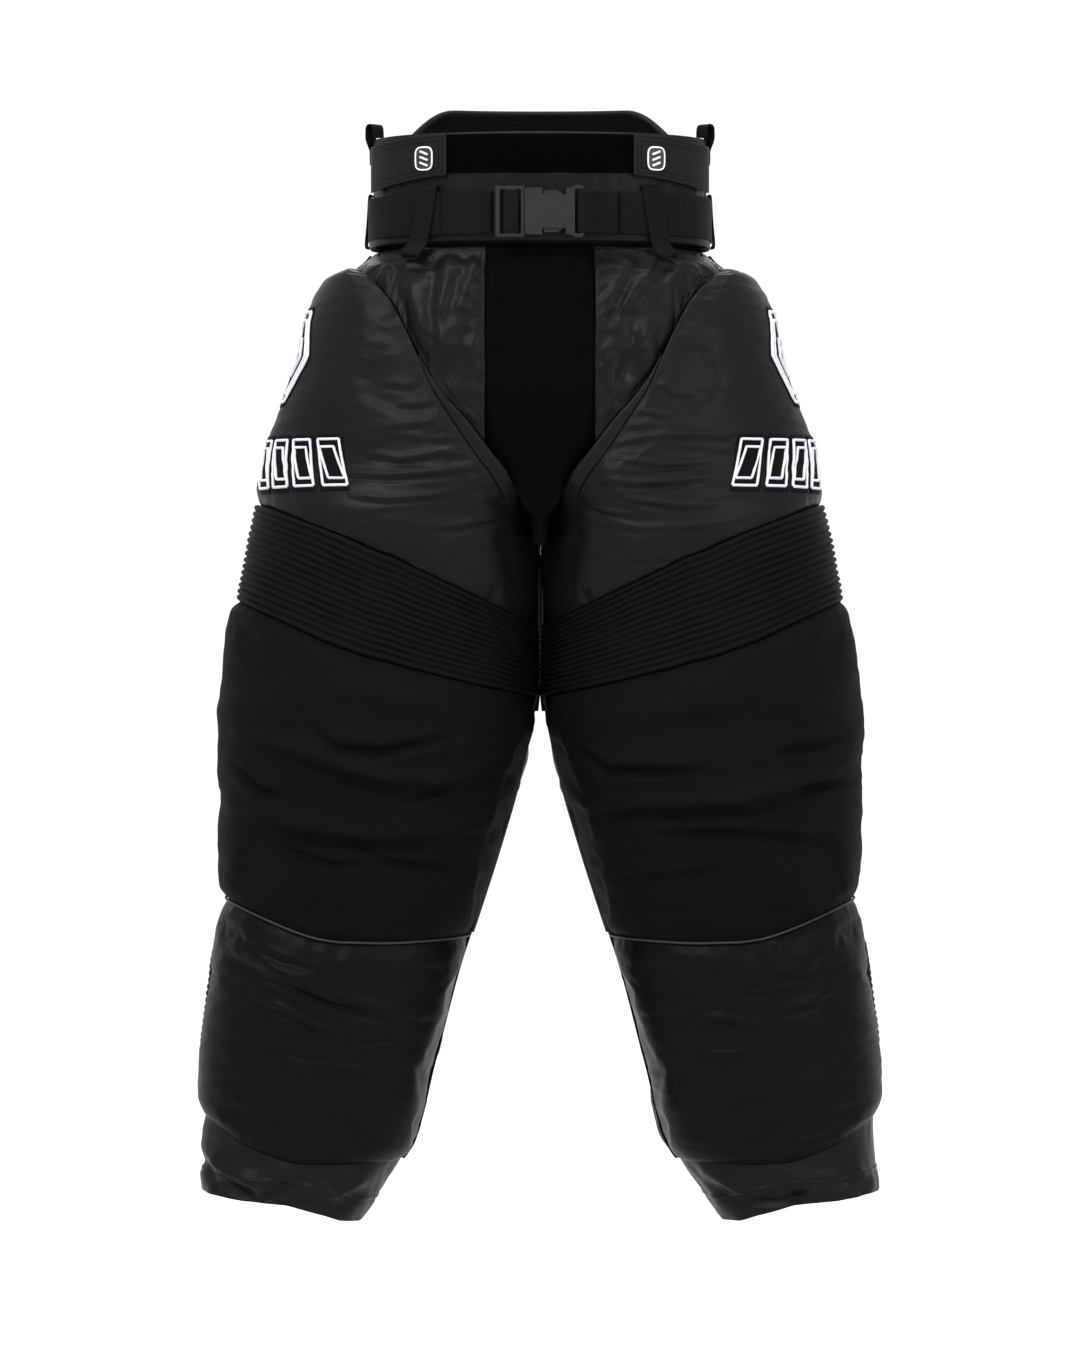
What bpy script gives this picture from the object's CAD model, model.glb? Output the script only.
"""Padded hockey trousers: the looks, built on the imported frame.

Every sewn piece is a panel that lies on the trousers' "skin", the same surface that the CAD parts follow.
A point of the skin is a turn round the leg (0 front, 1 outer side, 2 back, -1 or 3 inner side) and a height.
Panels are worked out in millimetres and made into meshes in metres. "left" is the wearer's left, +X.
"""

import math

import bmesh
import bpy
import numpy as np
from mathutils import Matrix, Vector
from mathutils.bvhtree import BVHTree


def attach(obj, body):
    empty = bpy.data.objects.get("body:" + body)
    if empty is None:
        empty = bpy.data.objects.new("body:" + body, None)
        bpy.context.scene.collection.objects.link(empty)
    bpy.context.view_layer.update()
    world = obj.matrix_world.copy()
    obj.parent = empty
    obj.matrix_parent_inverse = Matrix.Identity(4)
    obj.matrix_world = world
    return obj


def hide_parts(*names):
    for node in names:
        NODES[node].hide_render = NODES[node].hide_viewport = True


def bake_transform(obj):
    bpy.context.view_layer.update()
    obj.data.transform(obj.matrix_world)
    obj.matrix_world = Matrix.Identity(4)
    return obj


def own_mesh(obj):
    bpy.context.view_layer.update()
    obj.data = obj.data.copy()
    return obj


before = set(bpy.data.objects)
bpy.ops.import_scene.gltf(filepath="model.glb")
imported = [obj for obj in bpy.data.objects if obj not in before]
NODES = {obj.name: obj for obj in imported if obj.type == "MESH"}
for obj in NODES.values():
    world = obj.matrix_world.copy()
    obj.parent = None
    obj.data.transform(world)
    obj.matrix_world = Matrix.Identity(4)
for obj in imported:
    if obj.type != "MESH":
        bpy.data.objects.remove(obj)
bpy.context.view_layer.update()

MM = 0.001

# ---- The skin ---------------------------------------------------------------------------------------

POWER = 2.4  # how square a slice through the trousers is: 2 is an ellipse
CROTCH_TOP, CROTCH_BOTTOM = -225, -300  # the slices turn from one wide oval to two legs between these

# Height, outer and inner half width, and how far the front and the back stand from the middle plane.
STATIONS = np.array([
    (120, 166, 0, 112, 112),
    (-25, 168, 0, 112, 114),
    (-50, 197, 0, 122, 120),
    (-88, 217, 0, 132, 130),
    (-130, 229, 0, 138, 140),
    (-217, 257, 0, 142, 148),
    (-290, 275, 2, 140, 144),
    (-372, 290, 2, 136, 130),
    (-450, 299, 2, 134, 118),
    (-526, 301, 17, 134, 108),
    (-592, 300, 36, 126, 104),
    (-645, 300, 53, 117, 104),
    (-703, 308, 72, 112, 106),
    (-791, 319, 95, 106, 106),
    (-870, 323, 117, 98, 106),
    (-945, 326, 165, 92, 104),
], float)
OUTER, INNER, FRONT, BACK = 1, 2, 3, 4

# Seams that cross the front of a leg: height against distance from the middle.
BAND_TOP = [(0, -380), (75, -346), (139, -317), (195, -293), (252, -270), (280, -262)]
BAND_BOTTOM = [(0, -446), (64, -433), (139, -415), (195, -397), (241, -376), (290, -354)]
KNEE_BOTTOM = [(50, -671), (137, -674), (197, -672), (230, -662), (260, -650), (300, -634)]
SHIN_BOTTOM = [(110, -883), (230, -879), (282, -860), (322, -836)]
HEM = [(165, -938), (182, -935), (200, -928), (234, -917), (280, -913), (326, -906)]
BACK_BAND_TOP, BACK_BAND_BOTTOM = -334, -466
BACK_KNEE_BOTTOM, BACK_SHIN_BOTTOM, BACK_HEM = -640, -850, -926

# Lines down the front of the thigh: distance from the middle against height.
PAD_EDGE = [
    (-40, 175), (-76, 142), (-102, 128), (-130, 115), (-160, 103), (-190, 83), (-220, 63), (-252, 40),
    (-283, 20), (-305, 4),
]
STRIP_EDGE = [(-128, 115), (-150, 103), (-170, 88), (-190, 69), (-220, 46), (-252, 24), (-284, 6), (-300, 2)]
CROTCH_EDGE = [(-26, 50), (-80, 48), (-200, 51), (-216, 47), (-284, 3)]
HIP_BOTTOM = [
    (50, -214), (69, -190), (88, -170), (101, -157), (115, -130), (128, -102), (142, -76), (175, -40),
    (200, -38),
]
HIP_START = 52
INNER_SEAM, SIDE_SEAM = -0.97, 1.16
BACK_SEAM = 4 + INNER_SEAM
CROTCH_POINT, CROTCH_TUCK = -308, 5
SEAT_TOP_HALF, SEAT_BOTTOM_HALF, SEAT_BOTTOM, SEAT_TAPER = 96, 26, -278, 1.4

WAIST_FRONT_TOP, WAIST_BACK_TOP, WAIST_SIDE_TOP, WAIST_BOTTOM = 75, 114, 74, -25
LINING_FRONT, LINING_BACK = -22.5, -15.5  # depths of the thin lining of the hips and legs
TAB_FREE, TAB_ROOT = 87, 159  # how far a side tab's loose and sewn ends are from the middle


def table(rows, value):
    """Value of a table of (position, value) rows joined by straight lines."""
    rows = sorted(rows)
    return np.interp(value, [r[0] for r in rows], [r[1] for r in rows])


def smooth_step(low, high, value):
    t = np.clip((np.asarray(value, float) - low) / (high - low), 0, 1)
    return t * t * (3 - 2 * t)


def mix(a, b, t):
    return a + (b - a) * t


def unit(vectors):
    return vectors / np.maximum(np.linalg.norm(vectors, axis=-1, keepdims=True), 1e-9)


def gaps(points, axis=0):
    """Distance from each point to the next one along an axis of a line or a grid."""
    return np.linalg.norm(np.diff(points, axis=axis), axis=-1)


def run_along(line):
    """How far each point of a line is from the line's start."""
    return np.concatenate([[0], np.cumsum(gaps(line))])


def values_at(line, run, places):
    """A line's columns at some places, where run has the places of the line's own points."""
    return np.stack([np.interp(places, run, column) for column in line.T], -1)


def spaced(line, run, spacing):
    """A line's columns at even steps of about spacing along run."""
    return values_at(line, run, np.linspace(0, run[-1], max(2, round(run[-1] / spacing)) + 1))


def shares(rows, columns, left=0, right=1):
    """Shares down and across a grid of so many points."""
    return np.meshgrid(np.linspace(0, 1, rows), np.linspace(left, right, columns), indexing="ij")


def station(column, z):
    """One column of STATIONS at height z, as a smooth curve through the stations."""
    z = np.asarray(z, float)
    heights, values = STATIONS[:, 0], STATIONS[:, column]
    last = len(heights) - 1
    before = np.maximum(np.arange(last + 1) - 1, 0)
    after = np.minimum(np.arange(last + 1) + 1, last)
    slopes = (values[after] - values[before]) / (heights[after] - heights[before])
    i = np.clip(np.searchsorted(-heights, -z, side="left") - 1, 0, last - 1)
    span = heights[i + 1] - heights[i]
    t = np.clip((z - heights[i]) / span, 0, 1)
    return (
        (1 + 2 * t) * (1 - t) ** 2 * values[i]
        + t * (1 - t) ** 2 * span * slopes[i]
        + t * t * (3 - 2 * t) * values[i + 1]
        + t * t * (t - 1) * span * slopes[i + 1]
    )


def signed_power(value, exponent):
    return np.sign(value) * np.abs(value) ** exponent


def leg_point(turn, z):
    """Points of the skin on the wearer's left half."""
    inner, outer = station(INNER, z), station(OUTER, z)
    middle, half = (inner + outer) / 2, (outer - inner) / 2
    angle = turn * math.pi / 2
    x = middle + half * signed_power(np.sin(angle), 2 / POWER)
    facing = np.abs(np.cos(angle)) ** (2 / POWER)
    wide = (1 - np.clip(np.abs(x / outer), 0, 1) ** POWER) ** (1 / POWER)
    stand = mix(wide, facing, smooth_step(CROTCH_TOP, CROTCH_BOTTOM, z))
    y = np.where(np.cos(angle) > 0, -station(FRONT, z) * stand, station(BACK, z) * stand)
    return np.stack([x, y, z + 0 * x], -1)


def body_point(turn, z):
    """Points of the whole body's skin, on both sides of the middle."""
    angle = turn * math.pi / 2
    x = station(OUTER, z) * signed_power(np.sin(angle), 2 / POWER)
    facing = signed_power(np.cos(angle), 2 / POWER)
    y = np.where(facing > 0, -station(FRONT, z) * facing, -station(BACK, z) * facing)
    return np.stack([x, y, z + 0 * x], -1)


def leg_turn(x, z):
    inner, outer = station(INNER, z), station(OUTER, z)
    share = np.clip((2 * x - inner - outer) / (outer - inner), -1, 1)
    return np.arcsin(signed_power(share, POWER / 2)) * 2 / math.pi


def body_turn(x, z):
    share = np.clip(x / station(OUTER, z), -1, 1)
    return np.arcsin(signed_power(share, POWER / 2)) * 2 / math.pi


def normals_of(points):
    """Outward unit normals of a grid whose columns run with the turn and whose rows run down."""
    return unit(np.cross(np.gradient(points, axis=0), np.gradient(points, axis=1)))


# ---- Borders of a panel -----------------------------------------------------------------------------

STEPS = np.linspace(0, 1, 25)


def seam_height(seam, turn):
    """Height of a front seam at this turn of the leg."""
    turn = np.clip(turn, -1, 1)
    z = np.full(np.shape(turn), float(seam[0][1]))
    for _ in range(6):
        z = table(seam, leg_point(turn, z)[..., 0])
    return z


def across_leg(seam, from_turn, to_turn, back_height):
    turn = mix(from_turn, to_turn, STEPS)
    return np.stack([turn, round_leg(seam, turn, back_height)], -1)


def round_leg(seam, turn, back_height):
    """Height of a seam all round the leg: the front's own line, then on to back_height behind."""
    side, inner = seam_height(seam, np.array(1.0)), seam_height(seam, np.array(-1.0))
    behind = np.where(
        turn <= 2,
        mix(side, back_height, smooth_step(1, 2, turn)),
        mix(back_height, inner, smooth_step(2, 3, turn)),
    )
    return np.where(turn <= 1, seam_height(seam, turn), behind)


def down_leg(turn, top_z, bottom_z):
    return np.stack([0 * STEPS + turn, mix(top_z, bottom_z, STEPS)], -1)


def down_front(rows, top_z, bottom_z):
    z = mix(top_z, bottom_z, STEPS)
    return np.stack([leg_turn(table(rows, z), z), z], -1)


def between(top, bottom):
    left = down_leg(top[0][0], top[0][1], bottom[0][1])
    right = down_leg(top[-1][0], top[-1][1], bottom[-1][1])
    return left, right, top, bottom


def along(line, t):
    """Points at share t along a line whose own points are evenly shared out."""
    return values_at(line, np.arange(len(line)), np.clip(t, 0, 1) * (len(line) - 1))


def coons(borders, u, v):
    """Turn and height inside four border lines."""
    left, right, top, bottom = [np.asarray(line, float) for line in borders]
    across, down = u[..., None], v[..., None]
    from_sides = mix(along(left, v), along(right, v), across)
    from_ends = mix(along(top, u), along(bottom, u), down)
    corners = mix(mix(left[0], right[0], across), mix(left[-1], right[-1], across), down)
    inside = from_sides + from_ends - corners
    return inside[..., 0], inside[..., 1]


# ---- Panels -----------------------------------------------------------------------------------------

def skin_grid(skin, borders, spacing, gap=0.6):
    """A grid of points on the skin inside the borders, about spacing apart."""
    sample = np.linspace(0, 1, 9)
    u, v = np.meshgrid(sample, sample)
    rough = skin(*coons(borders, u, v))
    width, height = gaps(rough, 1).sum(1).max(), gaps(rough).sum(0).max()
    columns, rows = max(4, round(width / spacing)), max(3, round(height / spacing))
    inset_u, inset_v = gap / 2 / width, gap / 2 / height
    u, v = np.meshgrid(
        np.linspace(inset_u, 1 - inset_u, columns + 1), np.linspace(inset_v, 1 - inset_v, rows + 1)
    )
    return skin(*coons(borders, u, v))


def measures(points):
    """How far each grid point is from the left border, from the top border and from the nearest border."""
    s = np.concatenate([np.zeros((len(points), 1)), np.cumsum(gaps(points, 1), 1)], 1)
    t = np.concatenate([np.zeros((1, points.shape[1])), np.cumsum(gaps(points), 0)], 0)
    edge = np.minimum(np.minimum(s, s[:, -1:] - s), np.minimum(t, t[-1:] - t))
    return s, t, edge


def refined(points):
    """The grid at twice the resolution, smoothed as a cubic surface."""
    for axis in (0, 1):
        p = np.moveaxis(points, axis, 0)
        fine = np.empty((2 * len(p) - 1,) + p.shape[1:])
        fine[1::2] = (p[:-1] + p[1:]) / 2
        fine[2:-1:2] = (p[:-2] + 6 * p[1:-1] + p[2:]) / 8
        fine[0], fine[-1] = p[0], p[-1]
        points = np.moveaxis(fine, 0, axis)
    return points


def waves(points, scale, seed, stretch=(1, 1, 1)):
    """Smooth seeded noise from -1 to 1 with features about scale millimetres across."""
    rng = np.random.default_rng(seed)
    total = 0
    for _ in range(9):
        direction = rng.normal(size=3)
        direction *= rng.uniform(0.6, 1.5) / np.linalg.norm(direction) * math.pi / scale
        total = total + np.sin((points / np.array(stretch)) @ direction + rng.uniform(0, 2 * math.pi))
    return total / 4.2


def crease(flat, path, width, height):
    """One fold along a path on a flat map of a panel, fading out at both ends. With a height above 0 it is a
    ridge that is steep below, and with a height under 0 a groove with soft shoulders."""
    path = np.array(path, float)
    steps, start = gaps(path), run_along(path)
    away = np.full(flat.shape[:-1], 1e9)
    place = np.zeros(flat.shape[:-1])
    for i, step in enumerate(steps):
        direction = (path[i + 1] - path[i]) / step
        offset = flat - path[i]
        run = np.clip(offset @ direction, 0, step)
        distance = np.linalg.norm(offset - run[..., None] * direction, axis=-1)
        above = np.sign(direction[0] * offset[..., 1] - direction[1] * offset[..., 0])
        nearer = distance < np.abs(away)
        away = np.where(nearer, distance * np.where(above == 0, 1, above), away)
        place = np.where(nearer, start[i] + run, place)
    fade = np.sin(math.pi * np.clip(place / start[-1], 0.03, 0.97)) ** 0.7
    across = away / width
    if height > 0:
        ridge = np.exp(-((across / np.where(across > 0, 1.3, 0.6)) ** 2))
        return height * fade * (ridge - 0.6 * np.exp(-(((across + 1.5) / 0.6) ** 2)))
    groove = np.exp(-((across / 0.55) ** 2))
    shoulders = np.exp(-(((np.abs(across) - 1.5) / 0.8) ** 2))
    return height * fade * (groove - 0.45 * shoulders)


def all_creases(points, listed):
    """Every (path, width, height) of a list, drawn on the front view of the left leg."""
    flat = points[..., [0, 2]]
    return sum((crease(flat, *fold) for fold in listed), np.zeros(points.shape[:-1]))


def puffed(edge, rim, middle, soft):
    """Depth that rises from rim at the border to middle inside."""
    return mix(rim, middle, 1 - np.exp(-((edge / soft) ** 1.3)))


def rim_depth(grid, rim, left_rim=None, right_rim=None):
    """The rim's depth at each point. The left and the right border have a depth of their own where they run
    down the inner leg, and it fades back to the rim's own depth above the crotch."""
    s, t, _ = measures(grid)
    below_crotch = smooth_step(-284, -312, grid[..., 2])
    left_rim = rim if left_rim is None else mix(rim, left_rim, below_crotch)
    right_rim = rim if right_rim is None else mix(rim, right_rim, below_crotch)
    left, right = s + 0.01, s[:, -1:] - s + 0.01
    ends = np.minimum(t, t[-1:] - t) + 0.01
    near_left, near_right, near_ends = left**-2, right**-2, ends**-2
    total = near_left + near_right + near_ends
    return (near_left * left_rim + near_right * right_rim + near_ends * rim) / total


def grid_faces(rows, columns, offset=0, flip=False):
    j, i = np.meshgrid(np.arange(rows), np.arange(columns), indexing="ij")
    a = offset + j * (columns + 1) + i
    quads = np.stack([a, a + columns + 1, a + columns + 2, a + 1], -1).reshape(-1, 4)
    return quads[:, ::-1] if flip else quads


def rim_faces(rows, columns, inner):
    """Faces that join the borders of the outer and the inner grid. inner is where the inner grid starts."""
    top = np.arange(columns + 1)
    right = np.arange(rows + 1) * (columns + 1) + columns
    bottom = (rows * (columns + 1) + top)[::-1]
    left = (np.arange(rows + 1) * (columns + 1))[::-1]
    faces = []
    for line in (top, right, bottom, left):
        faces.append(np.stack([line[:-1], line[1:], line[1:] + inner, line[:-1] + inner], -1))
    return np.concatenate(faces)


EDGE_NAMES = ("edge", "side_edge", "end_edge")
PIECE = "sewn"  # ends the name of every piece made here, because the CAD nodes have the plain names


def mesh_object(name, points, faces, maps=None, edges=None):
    """An object from points in millimetres. maps is each point's place on the cloth, and edges its distance
    from the nearest border, from the side borders and from the top and bottom borders."""
    name = f"{name}_{PIECE}"
    mesh = bpy.data.meshes.new(name)
    mesh.from_pydata((np.asarray(points) * MM).tolist(), [], [list(face) for face in faces])
    mesh.polygons.foreach_set("use_smooth", np.ones(len(mesh.polygons), bool))
    if maps is not None:
        layer = mesh.uv_layers.new(name="cloth")
        corners = np.zeros(len(mesh.loops), int)
        mesh.loops.foreach_get("vertex_index", corners)
        layer.data.foreach_set("uv", (np.asarray(maps) * MM)[corners].ravel())
        for label, distance in zip(EDGE_NAMES, edges):
            attribute = mesh.attributes.new(label, "FLOAT", "POINT")
            attribute.data.foreach_set("value", (np.asarray(distance) * MM).astype(np.float32))
    obj = bpy.data.objects.new(name, mesh)
    bpy.context.scene.collection.objects.link(obj)
    return obj


def closed_panel(name, outer, inner, side=1):
    """A closed piece of cloth or padding between an outer and an inner grid."""
    rows, columns = outer.shape[0] - 1, outer.shape[1] - 1
    s, t, edge = measures(outer)
    count = outer.shape[0] * outer.shape[1]
    points = np.concatenate([outer.reshape(-1, 3), inner.reshape(-1, 3)])
    faces = np.concatenate([
        grid_faces(rows, columns),
        grid_faces(rows, columns, count, flip=True),
        rim_faces(rows, columns, count),
    ])
    if side < 0:
        points = points * np.array([-1, 1, 1])
        faces = faces[:, ::-1]
    return mesh_object(name, points, faces, *both_faces(s, t, edge))


def both_faces(s, t, edge):
    """The cloth places and border distances of a grid, given to its outer and its inner face."""
    maps = np.stack([s, -t], -1).reshape(-1, 2)
    sides, ends = np.minimum(s, s[:, -1:] - s), np.minimum(t, t[-1:] - t)
    edges = [np.tile(distance.ravel(), 2) for distance in (edge, sides, ends)]
    return np.concatenate([maps, maps]), edges


# ---- Cloth simulation -------------------------------------------------------------------------------

SIM_FRAMES = 18
CLOTH_SETTINGS = {
    "quality": 4,
    "mass": 0.2,
    "tension_stiffness": 12,
    "compression_stiffness": 12,
    "shear_stiffness": 6,
    "bending_stiffness": 0.6,
    "vertex_group_mass": "pin",
    "use_pressure": True,
    "uniform_pressure_force": 1.0,
}


def simulate(panels):
    """Lets every panel settle as cloth, all at once. The border is sewn down and the cloth is cut a little
    larger than the skin under it, so it buckles into folds of its own."""
    scene = bpy.context.scene
    made = []
    for panel in panels:
        points = panel.points
        rows, columns = points.shape[0] - 1, points.shape[1] - 1
        obj = mesh_object("sim", points.reshape(-1, 3), grid_faces(rows, columns))
        pin = obj.vertex_groups.new(name="pin")
        border = np.zeros(points.shape[:2], bool)
        border[[0, -1]] = True
        border[:, [0, -1]] = True
        pin.add(np.flatnonzero(border.ravel()).tolist(), 1.0, "REPLACE")
        cloth = obj.modifiers.new("cloth", "CLOTH")
        for key, value in CLOTH_SETTINGS.items():
            setattr(cloth.settings, key, value)
        cloth.settings.shrink_min = -panel.grow
        cloth.settings.effector_weights.gravity = 0
        cloth.collision_settings.use_collision = False
        cloth.point_cache.frame_start = 1
        cloth.point_cache.frame_end = SIM_FRAMES
        made.append(obj)
    for number in range(1, SIM_FRAMES + 1):
        scene.frame_set(number)
    graph = bpy.context.evaluated_depsgraph_get()
    for obj, panel in zip(made, panels):
        mesh = obj.evaluated_get(graph).data
        settled = np.zeros(len(mesh.vertices) * 3)
        mesh.vertices.foreach_get("co", settled)
        moved = settled.reshape(panel.points.shape) / MM - panel.points
        length = np.linalg.norm(moved, axis=-1, keepdims=True)
        panel.points = panel.points + moved / (1 + (length / panel.cap) ** 2) ** 0.5
        bpy.data.objects.remove(obj)
    scene.frame_set(1)


# ---- Materials --------------------------------------------------------------------------------------

class Nodes:
    """A short way to build a material's node tree."""

    def __init__(self, name):
        self.material = bpy.data.materials.new(name)
        self.material.use_nodes = True
        self.tree = self.material.node_tree
        self.shader = self.tree.nodes["Principled BSDF"]

    def add(self, kind, inputs=(), **settings):
        node = self.tree.nodes.new(kind)
        for key, value in settings.items():
            setattr(node, key, value)
        for key, value in dict(inputs).items():
            self.put(value, node.inputs[key])
        return node

    def put(self, value, socket):
        if isinstance(value, bpy.types.NodeSocket):
            self.tree.links.new(value, socket)
        else:
            socket.default_value = value

    def finished(self, inputs):
        """The material, with these inputs of its shader."""
        for key, value in inputs.items():
            self.put(value, self.shader.inputs[key])
        return self.material

    def body(self):
        """The place in the object's own space, in metres."""
        return self.add("ShaderNodeTexCoord").outputs["Object"]

    def place(self):
        """The place on the cloth, in metres."""
        return self.add("ShaderNodeUVMap", uv_map="cloth").outputs["UV"]

    def distance(self, edge):
        """How far the place is from the borders that one of EDGE_NAMES stands for."""
        return self.add("ShaderNodeAttribute", attribute_name=edge).outputs["Fac"]

    def split(self, place):
        outputs = self.add("ShaderNodeSeparateXYZ", {"Vector": place}).outputs
        return outputs[0], outputs[1]

    def math(self, operation, a, b=0.0):
        return self.add("ShaderNodeMath", {0: a, 1: b}, operation=operation).outputs[0]

    def times(self, a, b):
        return self.math("MULTIPLY", a, b)

    def plus(self, a, b):
        return self.math("ADD", a, b)

    def ramp(self, value, low, high, to_low=0.0, to_high=1.0):
        inputs = {"Value": value, "From Min": low, "From Max": high, "To Min": to_low, "To Max": to_high}
        return self.add("ShaderNodeMapRange", inputs).outputs[0]

    def wave(self, value, pitch):
        """A sine wave from 0 to 1."""
        return self.ramp(self.math("SINE", self.times(value, 2 * math.pi / pitch)), -1, 1)

    def noise(self, place, scale, detail=3.0, roughness=0.55):
        inputs = {"Vector": place, "Scale": scale, "Detail": detail, "Roughness": roughness}
        return self.add("ShaderNodeTexNoise", inputs).outputs["Fac"]

    def blend(self, factor, a, b):
        return self.add("ShaderNodeMix", {"Factor": factor, 6: a, 7: b}, data_type="RGBA").outputs[2]

    def scaled(self, colour, level):
        inputs = {0: colour[:3], "Scale": level}
        return self.add("ShaderNodeVectorMath", inputs, operation="SCALE").outputs[0]

    def stretched(self, place, scale):
        return self.add("ShaderNodeMapping", {"Vector": place, "Scale": scale}).outputs[0]

    def bump(self, height, distance, normal=None):
        node = self.add("ShaderNodeBump", {"Height": height, "Distance": distance, "Strength": 1.0})
        if normal is not None:
            self.put(normal, node.inputs["Normal"])
        return node.outputs[0]


def shade(level, tint=(1, 1, 1)):
    return (level * tint[0], level * tint[1], level * tint[2], 1)


WEAVE_PITCH = {"satin": 0.0011, "twill": 0.0021, "knit": 0.0017, "webbing": 0.0019, "pile": 0.0012}


def weave_height(nodes, place, weave):
    """Height of the yarns, 0 to 1, at a place on the cloth."""
    pitch = WEAVE_PITCH[weave]
    u, v = nodes.split(place)
    if weave == "satin":
        return nodes.noise(nodes.stretched(place, (1 / pitch, 0.22 / pitch, 1)), 1.0, 2.0)
    if weave == "twill":
        lines = nodes.wave(nodes.plus(u, nodes.times(v, 1.7)), pitch)
        yarns = nodes.wave(nodes.math("SUBTRACT", v, u), pitch / 1.4)
        return nodes.times(lines, nodes.ramp(yarns, 0, 1, 0.5, 1))
    if weave == "knit":
        ribs = nodes.math("ABSOLUTE", nodes.math("SINE", nodes.times(u, math.pi / pitch)))
        return nodes.times(ribs, nodes.ramp(nodes.wave(v, pitch / 1.3), 0, 1, 0.45, 1))
    if weave == "webbing":
        chevron = nodes.math("PINGPONG", v, 0.005)
        yarns = nodes.wave(nodes.plus(u, chevron), pitch / 0.9)
        return nodes.plus(nodes.times(nodes.wave(u, pitch), 0.5), nodes.times(yarns, 0.5))
    return nodes.noise(place, 1 / pitch, 5.0, 0.75)


def stitch_mask(nodes, place, inset, pitch=0.0036, width=0.0007):
    """1 on a dashed line of stitches that runs at a distance inset inside the panel's border."""
    u, v = nodes.split(place)
    masks = []
    for edge, along_line in (("side_edge", v), ("end_edge", u)):
        off_line = nodes.math("ABSOLUTE", nodes.math("SUBTRACT", nodes.distance(edge), inset))
        phase = nodes.math("PINGPONG", along_line, pitch / 2)
        dash = nodes.ramp(phase, pitch * 0.07, pitch * 0.14)
        masks.append(nodes.times(nodes.ramp(off_line, width, width * 0.45), dash))
    not_past_corner = nodes.math("GREATER_THAN", nodes.distance("edge"), inset * 0.9)
    return nodes.times(nodes.math("MAXIMUM", *masks), not_past_corner)


RUBBED = 1.5  # how much paler a worn border is
THREAD_PALER = 2.6  # how much paler the stitches are than their cloth
STITCH_RELIEF = 0.0006


def cloth(name, colour, roughness, specular, weave, relief, mottle, crumple=0.0, stitches=(), thread=None,
          tint=(1, 1, 1)):
    """A woven or knitted cloth with yarns, patches that catch the light, rubbed borders and top stitching.
    relief and crumple are how high its yarns and its fine wrinkles stand, in metres."""
    nodes = Nodes(name)
    place, body = nodes.place(), nodes.body()
    yarn = weave_height(nodes, place, weave)
    patches = nodes.noise(body, 14.0, 4.0)
    fine = nodes.noise(body, 160.0)
    mottling = nodes.plus(nodes.times(patches, 0.6), nodes.times(fine, 0.4))
    wear = nodes.times(nodes.ramp(nodes.distance("edge"), 0.0035, 0.0005), nodes.ramp(fine, 0.35, 0.7))
    level = nodes.ramp(mottling, 0.3, 0.7, 1 - mottle, 1 + mottle)
    level = nodes.times(level, nodes.ramp(yarn, 0, 1, 0.72, 1.2))
    level = nodes.times(level, nodes.ramp(wear, 0, 1, 1, RUBBED))
    final = nodes.scaled(shade(colour, tint), level)
    normal = None
    if crumple:
        wrinkles = nodes.noise(nodes.stretched(body, (26, 26, 52)), 1.0, 4.0, 0.5)
        normal = nodes.bump(wrinkles, crumple)
    normal = nodes.bump(yarn, relief, normal)
    for inset in stitches:
        mask = stitch_mask(nodes, place, inset)
        final = nodes.blend(mask, final, thread or shade(colour * THREAD_PALER, tint))
        normal = nodes.bump(mask, STITCH_RELIEF, normal)
    return nodes.finished({
        "Base Color": final,
        "Roughness": nodes.ramp(patches, 0.3, 0.7, roughness - 0.06, roughness + 0.07),
        "Normal": normal,
        "Specular IOR Level": specular,
    })


def plastic():
    nodes = Nodes("moulded_plastic")
    flow = nodes.noise(nodes.stretched(nodes.body(), (40, 40, 160)), 1.0)
    grain = nodes.noise(nodes.body(), 2600.0, 2.0)
    return nodes.finished({
        "Base Color": nodes.scaled(shade(0.0065), nodes.ramp(flow, 0.3, 0.7, 0.85, 1.15)),
        "Roughness": nodes.ramp(flow, 0.3, 0.7, 0.34, 0.46),
        "Normal": nodes.bump(grain, 0.00005),
        "Specular IOR Level": 0.3,
    })


def badge_plastic(name, level, roughness):
    nodes = Nodes(name)
    scuffs = nodes.noise(nodes.stretched(nodes.body(), (300, 300, 900)), 1.0, 4.0)
    return nodes.finished({
        "Base Color": nodes.blend(scuffs, shade(level * 0.8), shade(level)),
        "Roughness": nodes.ramp(scuffs, 0.3, 0.7, roughness - 0.07, roughness + 0.1),
        "Normal": nodes.bump(scuffs, 0.00006),
    })


def foam():
    nodes = Nodes("foam")
    bubbles = nodes.add("ShaderNodeTexVoronoi", {"Vector": nodes.body(), "Scale": 520.0})
    cells = bubbles.outputs["Distance"]
    return nodes.finished({
        "Base Color": nodes.blend(nodes.ramp(cells, 0.1, 0.7), shade(0.16), shade(0.3)),
        "Roughness": 0.9,
        "Normal": nodes.bump(cells, 0.0004),
    })


def embroidery():
    """White satin stitch: fine threads that cross each bar, with a soft gloss."""
    nodes = Nodes("embroidery")
    place = nodes.place()
    u, v = nodes.split(place)
    threads = nodes.wave(nodes.plus(u, nodes.times(v, 0.35)), 0.0009)
    strands = nodes.noise(nodes.stretched(place, (1400, 120, 1)), 1.0)
    height = nodes.plus(nodes.times(threads, 0.7), nodes.times(strands, 0.3))
    return nodes.finished({
        "Base Color": nodes.blend(nodes.ramp(height, 0.1, 0.8), (0.42, 0.43, 0.5, 1), (0.86, 0.87, 0.9, 1)),
        "Roughness": 0.45,
        "Normal": nodes.bump(height, 0.0003),
        "Sheen Weight": 0.2,
    })


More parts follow.
